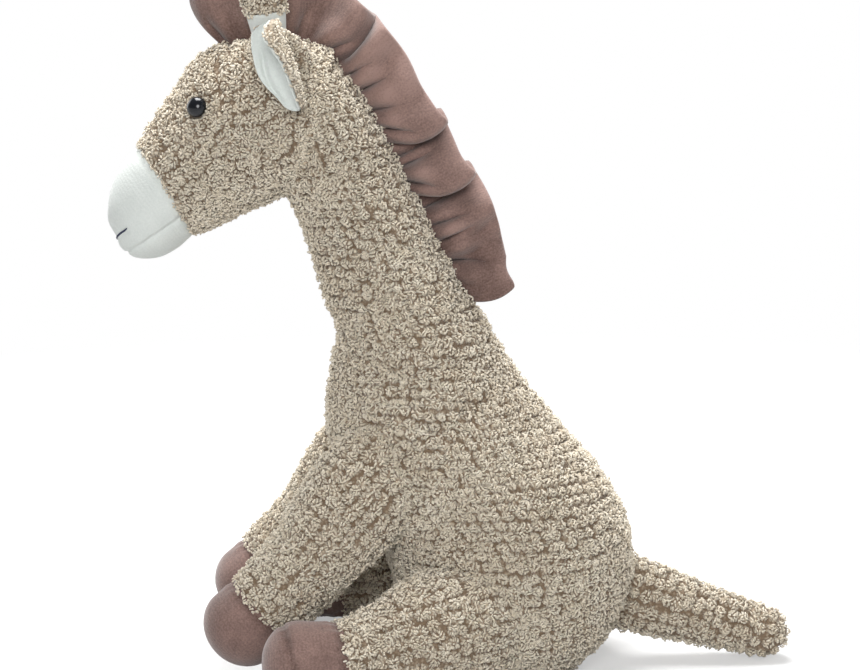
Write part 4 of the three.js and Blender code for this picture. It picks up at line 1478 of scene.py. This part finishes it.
    def build_mouth(self, muzzle: Patch) -> None:
        """The navy stitch, laid on the muzzle's front."""
        share = np.linspace(-1, 1, 61)
        y = self.mouth_half * share
        z = self.mouth_middle + self.mouth_rise * share**2
        points = muzzle.points.reshape(-1, 3)
        points = points[points[:, 0] < self.muzzle_front]
        gaps = (points[None, :, 1] - y[:, None]) ** 2 + (points[None, :, 2] - z[:, None]) ** 2
        x = points[gaps.argmin(axis=1), 0]
        x = np.convolve(np.pad(x, 4, mode="edge"), np.ones(9) / 9, mode="valid")
        path = np.stack([x - 0.1, y, z], axis=1)
        along = unit(np.gradient(path, axis=0))
        out = unit(np.cross(along, UP))
        up = np.cross(out, along)
        ends = np.sqrt(np.clip(1 - np.abs(share) ** 24, 0.05, 1))
        radius = (self.thread_radius * ends)[:, None, None]
        points = path[:, None] + radius * swung(out[:, None], up[:, None], turns(10))
        patch = Patch(points, path, share, path[[0, -1]])
        self.wardrobe.rider(Slot.THREAD, "mouth_thread", patch, "neck", "mouth_stitch")

    def build_eye(self, side: Side) -> None:
        """A glossy dome on a short post."""
        seat, normal = self.eye_seat(side)
        across = unit(np.cross(normal, UP))
        up = np.cross(across, normal)
        angle = np.linspace(0, math.pi / 2, 22)[:-1]
        radii = np.concatenate([[1.6, 1.6, 4.7, 5.1], self.eye_radius * np.cos(angle)])
        heights = np.concatenate([[-8.1, -1.1, -1.1, -0.8], self.eye_height * np.sin(angle) - 0.3])
        circle = swung(across, up, turns(56))
        points = seat + normal * heights[:, None, None] + circle * radii[:, None, None]
        poles = seat + normal * np.array([[heights[0]], [self.eye_height - 0.3]])
        patch = Patch(points, points.mean(axis=1), heights, poles)
        self.wardrobe.rider(Slot.EYE, f"eye_dome_{side.word}", patch, "neck", f"eye_{side.word}")
        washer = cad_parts[f"eye_washer_{side.word}"]
        washer.data.materials.clear()
        self.wardrobe.dress(washer, Slot.WASHER)


@dataclass
class Leg:
    """A stuffed leg: a sherpa sleeve with its pile and a velvet hoof.

    Attributes:
        kind: whether it is a front or a hind leg.
        hoof_place: the place of the seam between sleeve and hoof.
        sole_place: the middle place of the seam round a hind hoof's sole, on the dome.
        sole_tilt: how much later that place is at the top than in the middle.
        step: the distance between the sleeve's points.
        hoof_step: the distance between the hoof's points.
        sleeve_filling: what swells the sleeve.
        hoof_filling: what swells the hoof.
    """

    forms: Forms
    wardrobe: Wardrobe
    side: Side
    kind: LegKind
    hoof_place: float = 3.0
    sole_place: float = 4.13
    sole_tilt: float = 0.16
    step: float = 1.4
    hoof_step: float = 0.9
    sleeve_filling: Filling = Filling(grid=4.5, cap=1.4)
    hoof_filling: Filling = Filling(grid=2.2, cap=1.0, smaller=0.5, slack=0.05)

    @property
    def form(self) -> PaddedForm:
        """The leg's padded form."""
        return self.forms.legs[self.kind, self.side]

    @property
    def bend(self) -> tuple[tuple, tuple]:
        """Where the bend from the torso starts and ends, in metres."""
        if self.kind is LegKind.FRONT:
            return self.side.of((-0.058, 0.030, 0.112)), self.side.of((-0.086, 0.038, 0.078))
        return self.side.of((0.008, 0.040, 0.034)), self.side.of((-0.034, 0.056, 0.030))

    def build(self) -> None:
        """Makes the sleeve, its pile and the hoof."""
        name = f"{self.kind.value}_leg_{self.side.word}"
        patch = self.form.patch(SKIN_INSET, self.step, 0, self.hoof_place)
        held = bell(patch.points[..., 2], 4)
        held[:4] = 1
        held[-4:] = 1
        patch = self.sleeve_filling.swell(patch, held)
        cuff = 1.3 * bell(patch.places - self.hoof_place, 0.16)
        patch = above_floor(patch.pushed(np.repeat(-cuff[:, None], patch.points.shape[1], axis=1)))
        clear = self.forms.clear_of(self.forms.trunk)
        seed = 31 + self.side.value * 3 + len(self.kind.value)
        pile = replace(PILE, sway=0.12)
        patch, bits = pile.grow(patch, lambda p: clear(p) & (p[:, 2] > ROOT_FLOOR), seed)
        sleeve = self.wardrobe.skin(Slot.SHERPA, f"{name}_sleeve", above_floor(patch))
        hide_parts(f"{name}_skin", f"{name}_stuffing")
        start, end = self.bend
        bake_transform(sleeve)
        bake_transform(self.wardrobe.pile(bits, f"{name}_pile"))
        self.build_hoof(name)

    def build_hoof(self, body: str) -> None:
        """The velvet hoof, gathered a little at its seams."""
        patch = self.form.patch(VELVET_INSET, self.hoof_step, self.hoof_place - 0.1)
        held = bell(patch.points[..., 2], 3)
        held[:5] = 1
        patch = self.hoof_filling.swell(patch, held)
        turn = turns(patch.points.shape[1])
        rng = np.random.default_rng(5 + len(body))
        pucker = sum(
            rng.normal(0.4, 0.15) * np.cos(turn * n + rng.uniform(0, TURN)) for n in (9, 14, 19, 23)
        )
        past = patch.places[:, None] - self.hoof_place
        gather = 0.35 * bell(past, 0.3) * pucker
        height = patch.points[..., 2]
        upper = (height - height.mean()) / (height.max() - height.mean())
        sewn = 1.0 if self.kind is LegKind.HIND else 0.0
        from_sole = patch.places[:, None] - self.sole_place - self.sole_tilt * upper
        sole = sewn * bell(from_sole, 0.07)
        sole_gather = 0.16 * sewn * bell(from_sole, 0.16) * np.roll(pucker, 7)
        heights = gather + sole_gather - 1.5 * bell(past, 0.14) - 0.9 * sole
        patch = above_floor(patch.pushed(heights))
        # Darker along the sole seam and at the cuff, through the velvet's rise
        patch = replace(patch, rise=1 - 0.4 * sole - 0.3 * bell(past, 0.12))
        name = f"{self.kind.value}_hoof_velvet_{self.side.word}"
        node = f"{self.kind.value}_hoof_{self.side.word}"
        hoof = self.wardrobe.rider(Slot.MAUVE, name, patch, body, node)


@dataclass
class Tail:
    """The flat paddle of the tail.

    Attributes:
        step: the distance between the skin's points.
        bend_from: where the bend from the torso starts, in metres; not used.
        bend_to: where it ends; not used.
    """

    forms: Forms
    wardrobe: Wardrobe
    step: float = 1.4
    bend_from: tuple = (0.058, 0, 0.036)
    bend_to: tuple = (0.084, 0, 0.03)

    def build(self) -> None:
        """Makes the skin and its pile."""
        patch = self.forms.tail.patch(SKIN_INSET, self.step)
        clear = self.forms.clear_of(self.forms.trunk)
        pile = replace(PILE, sway=0.12, level=2, margin=-1.0)
        patch, bits = pile.grow(patch, lambda p: clear(p) & (p[:, 2] > 1.2), 47)
        skin = self.wardrobe.skin(Slot.SHERPA, "tail_paddle", above_floor(patch))
        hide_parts("tail_skin", "tail_stuffing")
        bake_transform(skin)
        piece = self.wardrobe.pile(bits, "tail_pile")
        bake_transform(piece)


@dataclass
class Horn:
    """A velvet stem that flares upwards, with a sherpa knob.

    Attributes:
        stem_end: the place where the stem ends, inside the knob.
        knob_place: the place where the knob starts.
        dome: how far the knob's top bulges.
    """

    wardrobe: Wardrobe
    side: Side
    stem_end: float = 2.15
    knob_place: float = 2.05
    dome: float = 11.5

    def build(self) -> None:
        """Makes the stem, the knob and its pile."""
        word = self.side.word
        form = PaddedForm(spine_rings(HORN_STATIONS, self.side), self.dome)
        stem_patch = form.patch(VELVET_INSET, 0.8, 0.0, self.stem_end)
        self.wardrobe.rider(Slot.CREAM, f"horn_velvet_{word}", stem_patch, "neck", f"horn_stem_{word}")
        patch = form.patch(SKIN_INSET, 0.9, self.knob_place)
        pile = replace(PILE, spacing=4.7, bits=20, scatter=0.15, stagger=0.5, level=1, margin=-1.0)
        patch, bits = pile.grow(patch, everywhere, 61 + self.side.value)
        self.wardrobe.rider(Slot.SHERPA, f"horn_knob_skin_{word}", patch, "neck", f"horn_knob_{word}")
        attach(self.wardrobe.pile(bits, f"horn_knob_pile_{word}"), "neck")


@dataclass
class Ear:
    """An ear folded lengthwise, with a sherpa back, a velvet lining and a gathered root.

    Attributes:
        top: where the leaf starts, on the right side.
        tip: where it ends.
        opening: which way the fold opens.
        half_width: radius of the fold where the leaf is widest.
        half_angle: how far the leaf wraps to each side, in radians.
        lap: how far the rear edge laps further over at the top, in radians.
        widths: the fold's radius from the top to the tip, as shares of `half_width`.
        crease: a fold in the lining, as its place across the leaf, its start and its end.
        bend: where the bend from the neck starts and ends, on the right side, in metres.
        rows: rows of the leaf's grid.
        columns: columns of one of its faces.
    """

    wardrobe: Wardrobe
    side: Side
    top: tuple = (-111.5, 37, 328)
    tip: tuple = (-97.5, 43, 285.5)
    opening: tuple = (-0.78, 0.62, 0)
    half_width: float = 13.0
    half_angle: float = 1.4
    lap: float = 0.62
    widths: tuple = (0.62, 0.72, 0.8, 0.84, 0.86, 0.83, 0.73, 0.58, 0.46, 0.38)
    crease: tuple = (0.17, 0.3, 0.95)
    bend: tuple = ((-0.0975, 0.022, 0.303), (-0.105, 0.034, 0.319))
    rows: int = 60
    columns: int = 64

    def leaf(self, s: Array, t: Array, offset: Array) -> Array:
        """Points of the folded leaf.

        Args:
            s: from 0 at the top to 1 at the tip.
            t: from 0 to 1 across the leaf.
            offset: distance outside the fold's middle surface.

        Returns:
            top + along times length times s + opening times (bend - radius cos a) + across times
            radius times sin a, with radius = bend + offset. Both ends are rounded off by the root
            of 1 less the square of the distance past the round's start.
        """
        top = np.array(self.side.of(self.top))
        way = np.array(self.side.of(self.tip)) - top
        length = np.linalg.norm(way)
        along = way / length
        opening = np.array(self.side.of(self.opening))
        opening = unit(opening - along * (opening @ along))
        across = np.cross(along, opening) * self.side.value
        share = spline(np.array(self.widths), s * (len(self.widths) - 1))
        past = np.maximum(0, s - 0.89) / 0.115 + np.maximum(0, 0.1 - s) / 0.105
        share = share * np.sqrt(1 - past**2)
        bend = self.half_width * share
        lapped = self.lap * (1 - smooth(0.05, 0.6, s)) * smooth(-0.1, 0.2, s)
        angle = (2 * t - 1) * (self.half_angle + lapped * (t > 0.5))
        radius = bend + offset
        spine = top + along * (length * s)[..., None]
        fold = spine + opening * (bend - radius * np.cos(angle))[..., None]
        return fold + across * (radius * np.sin(angle))[..., None]

    def layer(self, low: float, high: float, over: float = 0.0) -> Patch:
        """A closed layer between two offsets, `over` wider than the leaf, as rows all round it."""
        s = np.linspace(0.0, 1.0, self.rows)
        half = np.linspace(0, 1, self.columns)
        t = np.concatenate([half, half[::-1]]) * (1 + 2 * over) - over
        rim = np.sqrt(np.clip(1 - np.abs(2 * half - 1) ** 14, 0, 1))
        middle = (low + high) / 2
        thick = (high - low) / 2
        offset = np.concatenate([middle + thick * rim, middle - thick * rim[::-1]])
        ends = np.sqrt(np.clip(1 - np.abs(2 * s - 1) ** 16, 0.02, 1))
        offset = middle + (offset - middle) * ends[:, None]
        return Patch.closed(self.leaf(*np.meshgrid(s, t, indexing="ij"), offset), s)

    def lining(self) -> Patch:
        """The velvet layer, with one soft fold along it."""
        layer = self.layer(-1.6, -0.1, 0.025)
        across, start, end = self.crease
        places = layer.places[:, None]
        line = np.linspace(0, 1, self.columns) - across + 0.2 * (places - start)
        fold = bell(line, 0.04) - 0.6 * bell(line - 0.09, 0.05)
        fold = fold * smooth(start - 0.15, start + 0.1, places) * (1 - smooth(end - 0.15, end, places))
        return layer.pushed(-1.7 * np.concatenate([fold * 0, fold[:, ::-1]], axis=1))

    def build(self) -> None:
        """Makes the back with its pile, the lining and the root."""
        word = self.side.word
        body = f"ear_{word}"
        back = self.layer(0.15, 1.4)
        self.wardrobe.rider(Slot.SHERPA, f"ear_leaf_{word}", back, body, f"ear_back_{word}")
        lining = self.lining()
        self.wardrobe.rider(Slot.CREAM, f"ear_velvet_{word}", lining, body, f"ear_lining_{word}")
        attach(self.wardrobe.pile(self.back_bits(), f"ear_pile_{word}"), body)
        patch = PaddedForm(spine_rings(EAR_ROOT_STATIONS, self.side)).patch(1.2, 0.8)
        pile = replace(PILE, spacing=4.0, bits=11, length=1.9, mound=0.2, dome=1.1, level=1)
        patch, bits = pile.grow(patch, everywhere, 83 + self.side.value)
        start, end = (self.side.of(point) for point in self.bend)
        root = self.wardrobe.skin(Slot.SHERPA, f"ear_root_{word}", patch)
        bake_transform(root)
        root_pile = self.wardrobe.pile(bits, f"ear_root_pile_{word}")
        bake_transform(root_pile)

    def back_bits(self) -> Bits:
        """The pile on the outside of the leaf only."""
        s = np.linspace(0.02, 0.98, 40)
        t = np.linspace(0.0, 1.0, 30)
        grid_s, grid_t = np.meshgrid(s, t, indexing="ij")
        outer = self.leaf(grid_s, grid_t, 1.3)
        inner = self.leaf(grid_s, grid_t, 0.2)[:, ::-1]
        patch = Patch.closed(np.concatenate([outer, inner], axis=1), s)
        flat = outer.reshape(-1, 3)

        def keep(roots: Array) -> Array:
            """Roots on the outer face."""
            gaps = np.empty(len(roots))
            for chunk in np.array_split(np.arange(len(roots)), 8):
                gaps[chunk] = np.linalg.norm(roots[chunk, None] - flat[None], axis=2).min(axis=1)
            return gaps < 0.75

        pile = replace(PILE, spacing=4.3, bits=13, mound=0.0, dome=1.3, radius=0.55, level=1)
        return pile.grow(patch, keep, 71 + self.side.value)[1]


@dataclass
class Mane:
    """A double layer of velvet, gathered into the seam over the head and down the neck.

    Attributes:
        folds: the free edge, from the forehead down the neck, as (place along the seam, sideways,
            shift along the seam, bow along the seam at half height, extra height). Sideways is
            below 0 towards the left side, and a fold whose two sides shift towards each other laps
            over the next one.
        pinches: gathers beside the seam and soft dents, as (place along the seam, share of the
            height, sideways, lean along the seam, width).
        last_body: the station of the body where it ends.
        first_head: the station of the head where it starts.
        sink: how far its root lies under the seam.
        height: how far it stands out of the seam.
        front_height: its height at its front end.
        lower_height: its height at its lower end.
        front_lean: how far its front end leans forwards.
        lower_lean: how far its lower end leans down the neck.
        thick: the thickness of both layers.
        gather: the depth of all pinches, as a share of the table's.
        pinch_reach: how far up or down a pinch reaches, as a share of the height.
        rows: rows of its grid, along the seam.
        columns: columns of one layer, out to the free edge.
    """

    wardrobe: Wardrobe
    last_body: float = 9.65
    first_head: int = 4
    sink: float = 3.0
    height: float = 29.0
    front_height: float = 24.0
    lower_height: float = 21.5
    front_lean: float = 13.0
    lower_lean: float = 6.0
    thick: float = 4.6
    gather: float = 1.7
    pinch_reach: float = 0.22
    rows: int = 620
    columns: int = 34
    folds: tuple = (
        (0, 3.0, 0, -4, 0), (8, -4.5, 0, -3, 0), (20, 4.0, 0, -1, 0),
        (34, -4.0, 0, 0, 0), (42, 4.5, 0, 2, 0), (50, -7.5, 1, 2, 0),
        (56, -1.0, -1, 4, 0), (60, 8.5, -3, 5.5, 0), (66.5, -9.0, -4, 1, 0.5),
        (78, -6.0, -1, 0, 0), (90, -8.0, 0, 1, -2), (99, -12.0, 2.5, 3, -1),
        (103.5, -11.5, 5.5, 5, 1.5), (105.5, -3.5, 4.5, 5, 1.5), (106, 3.5, 0, 4.5, 1),
        (108, 9.5, -3, 3, 0), (113, 7.5, -1.5, 1.5, 0), (120, -3.0, 0, 0, 0),
        (128, -10.0, 2, 2, 0), (132.5, -12.0, 5.5, 5, 2.5), (134.5, -3.5, 5, 5, 2.5),
        (135, 3.5, 1, 4.5, 2), (137.5, 9.5, -2.5, 3, 1), (143, 9.5, -1, 1, 2),
        (150, 1.0, 0, 0, 3), (158, -6.5, 0, 0, 3), (168, -3.0, 0, 0, 1),
        (176, 3.0, 0, 0, -1.5), (186, -3.5, 0, 1.0, -3.5), (196, -6.5, 0, 3.5, 1),
    )
    pinches: tuple = (
        (4, 0.3, 3.85, 2, 1.8), (14, 0.25, -1.8, 0, 2.88), (27, 0.3, -1.8, 2, 3.12),
        (37, 0.3, 3.3, 3, 1.8), (47, 0.25, -2.1, 3, 2.64), (53, 0.25, 3.3, 4, 1.5),
        (70, 0.2, 4.4, 4, 1.65), (75, 0.2, -1.8, 4, 2.4), (80, 0.25, 6.6, 4, 1.5),
        (86, 0.3, -2.1, 4, 2.88), (91, 0.25, 4.4, 5, 1.5), (96, 0.2, -1.8, 6, 2.16),
        (100, 0.25, 4.95, 6, 1.35), (112, 0.25, -2.4, 3, 2.4), (117, 0.2, 4.4, 2, 1.35),
        (122, 0.3, 6.05, 0, 1.35), (126, 0.3, -2.7, 3, 2.4), (130, 0.2, 4.4, 5, 1.35),
        (146, 0.3, 5.5, 1, 1.35), (151, 0.3, -2.4, 1, 2.64), (156, 0.35, 6.05, 4, 1.35),
        (160, 0.3, -2.1, 1, 2.4), (163, 0.3, 4.95, -3, 1.35), (170, 0.3, -1.8, 1, 2.88),
        (177, 0.25, 6.05, 12, 1.5), (184, 0.3, -1.8, 6, 2.88), (85, 0.75, -1.6, 4, 7.0),
        (76, 0.7, 1.4, -5, 4.0), (95, 0.85, 1.3, 0, 4.0), (118, 0.75, 1.5, 4, 4.0),
        (166, 0.8, 2.0, -3, 4.0), (178, 0.8, -2.0, 2, 4.5),
    )

    def path(self) -> tuple[Array, Array]:
        """The seam's dense points from the forehead down the neck, and the distance travelled."""
        knots = [HEAD_STATIONS[i][0] for i in range(self.first_head, 0, -1)]
        last = math.ceil(self.last_body)
        knots += [station[1] for station in BODY_STATIONS[-2 : last - 1 : -1]]
        ring = spline(sagittal_rings(BODY_STATIONS), np.array([self.last_body]))[0]
        end = ring[0] - ring[1]
        line = np.array([[x, 0, z] for x, z in knots] + [end.tolist()])
        knot_at = running(np.linalg.norm(np.diff(line, axis=0), axis=1) ** 0.5)
        dense = self.centripetal(line, knot_at, 2400)
        return dense, running(np.linalg.norm(np.diff(dense, axis=0), axis=1))

    def centripetal(self, line: Array, knot_at: Array, count: int) -> Array:
        """A Catmull-Rom curve whose knots stand apart by the root of their distances."""
        first = line[0] * 2 - line[1]
        last = line[-1] * 2 - line[-2]
        points = np.concatenate([[first], line, [last]])
        times = np.concatenate([[2 * knot_at[0] - knot_at[1]], knot_at, [2 * knot_at[-1] - knot_at[-2]]])
        t = np.linspace(knot_at[0], knot_at[-1], count)
        i = np.clip(np.searchsorted(knot_at, t, side="right") - 1, 0, len(knot_at) - 2)
        p = [points[i + k] for k in range(4)]
        x = [times[i + k] for k in range(4)]

        def between(a: Array, b: Array, low: Array, high: Array) -> Array:
            """The line from a to b, read at t."""
            share = ((t - low) / (high - low))[:, None]
            return a * (1 - share) + b * share

        a1 = between(p[0], p[1], x[0], x[1])
        a2 = between(p[1], p[2], x[1], x[2])
        a3 = between(p[2], p[3], x[2], x[3])
        b1 = between(a1, a2, x[0], x[2])
        b2 = between(a2, a3, x[1], x[3])
        return between(b1, b2, x[1], x[2])

    def edge(self) -> Array:
        """The folds' rows at equal distances: place, sideways, shift, bow and extra height."""
        table = np.array(self.folds, float)
        dense = spline(table, np.linspace(0, len(table) - 1, 3000))
        line = np.stack([dense[:, 0] + dense[:, 2] + dense[:, 3], dense[:, 1]], axis=1)
        moves = np.linalg.norm(np.diff(line, axis=0), axis=1) + 0.3 * np.diff(dense[:, 0]).clip(0)
        travelled = running(moves)
        wanted = np.linspace(0, travelled[-1], self.rows)
        return np.stack([np.interp(wanted, travelled, dense[:, k]) for k in range(5)], axis=1)

    def middle(self) -> Array:
        """The ruffle's middle surface, rows along the seam by columns out to the free edge.

        Returns:
            seam + out times (height times t) + along times ((shift less lean) times t to the power
            1.3, and the bow times 4t(1 - t)) + Y times (sideways times the sine of 0.62 half turns
            times t to the power 0.85, and the pinches beside the seam).
        """
        seam, travelled = self.path()
        place, sideways, shift, bow, extra = self.edge().T
        place = np.clip(place * travelled[-1] / self.folds[-1][0], 0, travelled[-1])

        def seam_at(where: Array) -> Array:
            """The seam's points at distances along it."""
            return np.stack([np.interp(where, travelled, seam[:, k]) for k in range(3)], axis=1)

        root = seam_at(place)
        along = unit(seam_at(place + 1.0) - seam_at(place - 1.0))
        out = np.stack([-along[:, 2], along[:, 1] * 0, along[:, 0]], axis=1)
        s = place / travelled[-1]
        t = np.linspace(0, 1, self.columns) ** 0.85
        ends = np.minimum(1, np.minimum(s, 1 - s) * 14)
        target = np.where(s < 0.5, self.front_height, self.lower_height)
        tall = target + (self.height - target) * ends
        corner = np.sqrt(1 - np.clip(1 - np.minimum(s, 1 - s) * 60, 0, 1) ** 2)
        tall = tall * (0.93 + 0.07 * corner)
        lean = self.front_lean * np.maximum(0, 1 - s * 7)
        lean = lean - self.lower_lean * np.maximum(0, 1 - (1 - s) * 6)
        onward = (shift - lean)[:, None] * t**1.3 + bow[:, None] * 4 * t * (1 - t)
        upward = (tall + self.sink)[:, None] * t + extra[:, None] * t**2 - self.sink
        across = sideways[:, None] * np.sin(0.62 * math.pi * t**0.85)
        for spot, high, push, tilt, width in self.pinches:
            near = bell(place[:, None] - spot - tilt * (t - high), width)
            across = across + self.gather * push * near * bell(t - high, self.pinch_reach)
        surface = root[:, None] + out[:, None] * upward[..., None] + along[:, None] * onward[..., None]
        surface[..., 1] += across
        return surface

    def ridges(self, grid: Array) -> Array:
        """How far the middle surface stands to the right of its own mean along the rows."""
        window = np.hanning(35) / np.hanning(35).sum()
        padded = np.pad(grid[..., 1], ((17, 17), (0, 0)), mode="edge")
        return grid[..., 1] - np.lib.stride_tricks.sliding_window_view(padded, 35, axis=0) @ window

    def build(self) -> None:
        """Makes the ruffle as one closed double layer."""
        grid = self.middle()
        normal = unit(np.cross(np.gradient(grid, axis=0), np.gradient(grid, axis=1)))
        t = np.linspace(0, 1, self.columns)
        s = np.linspace(0, 1, self.rows)
        lip = np.sqrt(np.clip(1 - t**7, 0, 1)) * (0.45 + 0.55 * smooth(0, 0.45, t))
        tips = np.sqrt(np.clip(np.minimum(s, 1 - s) * 60, 0.03, 1))[:, None]
        offset = normal * (self.thick / 2) * (lip * tips)[..., None]
        points = np.concatenate([grid + offset, (grid - offset)[:, ::-1]], axis=1)
        # Painted light and shade: paler on the ridges of the folds, darker in their valleys
        ridge = self.ridges(grid) * normal[..., 1] * 0.16
        # Painted shade near the seam, and a painted highlight towards the free edge
        deep = 0.3 * (1 - smooth(0.0, 0.35, t)) - 0.15 * smooth(0.6, 1.0, t)
        # Painted light: a paler band on the upper bulge, painted shade at the front and lower ends
        painted_light_and_seams = 0.42 * bell(s - 0.38, 0.11) - 0.18 * smooth(0.8, 1.0, s)
        painted_light_and_seams = (painted_light_and_seams - 0.15 * (1 - smooth(0.1, 0.25, s)))[:, None] - deep
        faces = np.concatenate([painted_light_and_seams + ridge, (painted_light_and_seams - ridge)[:, ::-1]], axis=1)
        patch = Patch.closed(points, s, 1 + faces.clip(-0.6, 0.5))
        ruffle = self.wardrobe.rider(Slot.MAUVE, "mane_velvet", patch, "neck", "mane")


# Studio


@dataclass(frozen=True)
class Lamp:
    """A soft square lamp.

    Attributes:
        name: its name.
        place: where it stands, in metres.
        width: its side, in metres.
        watts: its power.
        aim: the point that it faces.
    """

    name: str
    place: tuple
    width: float
    watts: float
    aim: tuple = (-0.03, 0, 0.16)

    def build(self) -> None:
        """Adds the lamp."""
        data = bpy.data.lights.new(self.name, "AREA")
        data.size = self.width
        data.energy = self.watts
        lamp = linked(self.name, data)
        lamp.location = self.place
        way = Vector(self.aim) - Vector(self.place)
        lamp.rotation_euler = way.to_track_quat("-Z", "Y").to_euler()
        lamp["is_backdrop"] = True


@dataclass(frozen=True)
class Studio:
    """Floor, lamps, sky and camera of the photograph.

    Attributes:
        eye: where the camera stands, in metres.
        tilt: how far it looks down, in degrees.
        lens: its focal length, in millimetres.
        floor_half: half the floor's side, in metres.
        glow: how white the floor is to the camera, from 0 to 1.
        near_glow: the same beside the toy, where its shadow shows.
        bounce: the floor's colour in its light on the toy.
        sky: the strength of the light from all round.
        lamps: the soft lamps.
    """

    eye: tuple = (-0.0358, -1.4, 0.44)
    tilt: float = 11.0
    lens: float = 119.4
    floor_half: float = 40.0
    glow: float = 1.0
    near_glow: float = 0.4
    bounce: tuple = (0.5, 0.5, 0.5, 1)
    sky: float = 0.21
    lamps: tuple = (
        Lamp("key", (-0.15, -1.75, 0.95), 0.8, 20.0),
        Lamp("fill", (1.3, -1.2, 0.8), 1.0, 2.0),
        Lamp("top", (-0.15, 0.35, 1.65), 0.9, 38.0),
        Lamp("rim_left", (-1.3, 1.0, 0.7), 1.0, 6.5),
        Lamp("rim_right", (1.3, 1.0, 0.7), 1.0, 6.0),
    )

    def build(self) -> None:
        """Makes the whole studio."""
        for lamp in self.lamps:
            lamp.build()
        self.build_floor()
        self.build_sky()
        self.build_camera()

    def build_floor(self) -> None:
        """A pale floor that glows white to the camera and keeps the shadow."""
        h = self.floor_half / MM
        corners = np.array([[-h, -h, 0], [h, -h, 0], [h, h, 0], [-h, h, 0]], float)
        floor = mesh_object("floor", corners, [np.array([[0, 1, 2, 3]])])
        shader = Shader("floor_paper")
        path = shader.node("ShaderNodeLightPath")
        seen = Value(shader, path.outputs["Is Camera Ray"])
        seen = seen.larger(Value(shader, path.outputs["Is Glossy Ray"]))
        seen = seen.larger(Value(shader, path.outputs["Is Transmission Ray"]))
        length = {"operation": "LENGTH"}
        away = shader.value("ShaderNodeVectorMath", "Value", length, {0: shader.place()})
        white = (away * 1.5 - 0.3).share() * (self.glow - self.near_glow) + self.near_glow
        paper = shader.value("ShaderNodeBsdfDiffuse", 0, {}, {"Color": (0.9, 0.9, 0.9, 1)})
        dim = shader.value("ShaderNodeBsdfDiffuse", 0, {}, {"Color": self.bounce})
        glow = shader.value("ShaderNodeEmission", 0, {}, {"Color": (1, 1, 1, 1), "Strength": 1.0})
        lit = shader.value("ShaderNodeMixShader", 0, {}, {0: white, 1: paper, 2: glow})
        mix = shader.value("ShaderNodeMixShader", 0, {}, {0: seen, 1: dim, 2: lit})
        shader.tree.links.new(mix.socket, shader.output.inputs[0])
        floor.data.materials.append(shader.material)
        floor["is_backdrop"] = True

    def build_sky(self) -> None:
        """An even pale sky that lights the toy from all round."""
        world = bpy.data.worlds.new("sky")
        bpy.context.scene.world = world
        world.use_nodes = True
        background = world.node_tree.nodes["Background"]
        background.inputs["Color"].default_value = (1, 1, 1, 1)
        background.inputs["Strength"].default_value = self.sky

    def build_camera(self) -> None:
        """The camera of the photograph."""
        data = bpy.data.cameras.new("camera")
        data.lens = self.lens
        data.sensor_width = 36
        data.clip_end = 5 * self.floor_half
        camera = linked("camera", data)
        camera.location = self.eye
        camera.rotation_euler = (math.radians(90 - self.tilt), 0, 0)
        bpy.context.scene.camera = camera
        bpy.context.scene.view_settings.view_transform = "Standard"


def write_sizes(before: tuple) -> None:
    """Writes the CAD's box and the dressed object's box, as lists of numbers."""
    bpy.context.view_layer.update()
    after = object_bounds()
    boxes = {
        "cad": [list(corner) for corner in before],
        "dressed": [list(corner) for corner in after],
    }
    for name, corners in boxes.items():
        log.info("%s box: %s", name, corners)


def main() -> None:
    """Builds the toy and its studio."""
    bpy.context.view_layer.update()
    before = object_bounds()
    forms = Forms.make()
    wardrobe = Wardrobe()
    Trunk(forms, wardrobe).build()
    Head(forms, wardrobe).build()
    Tail(forms, wardrobe).build()
    for side in Side:
        for kind in LegKind:
            Leg(forms, wardrobe, side, kind).build()
        Horn(wardrobe, side).build()
        Ear(wardrobe, side).build()
    Mane(wardrobe).build()
    Studio().build()
    write_sizes(before)


if __name__ == "__main__":
    main()
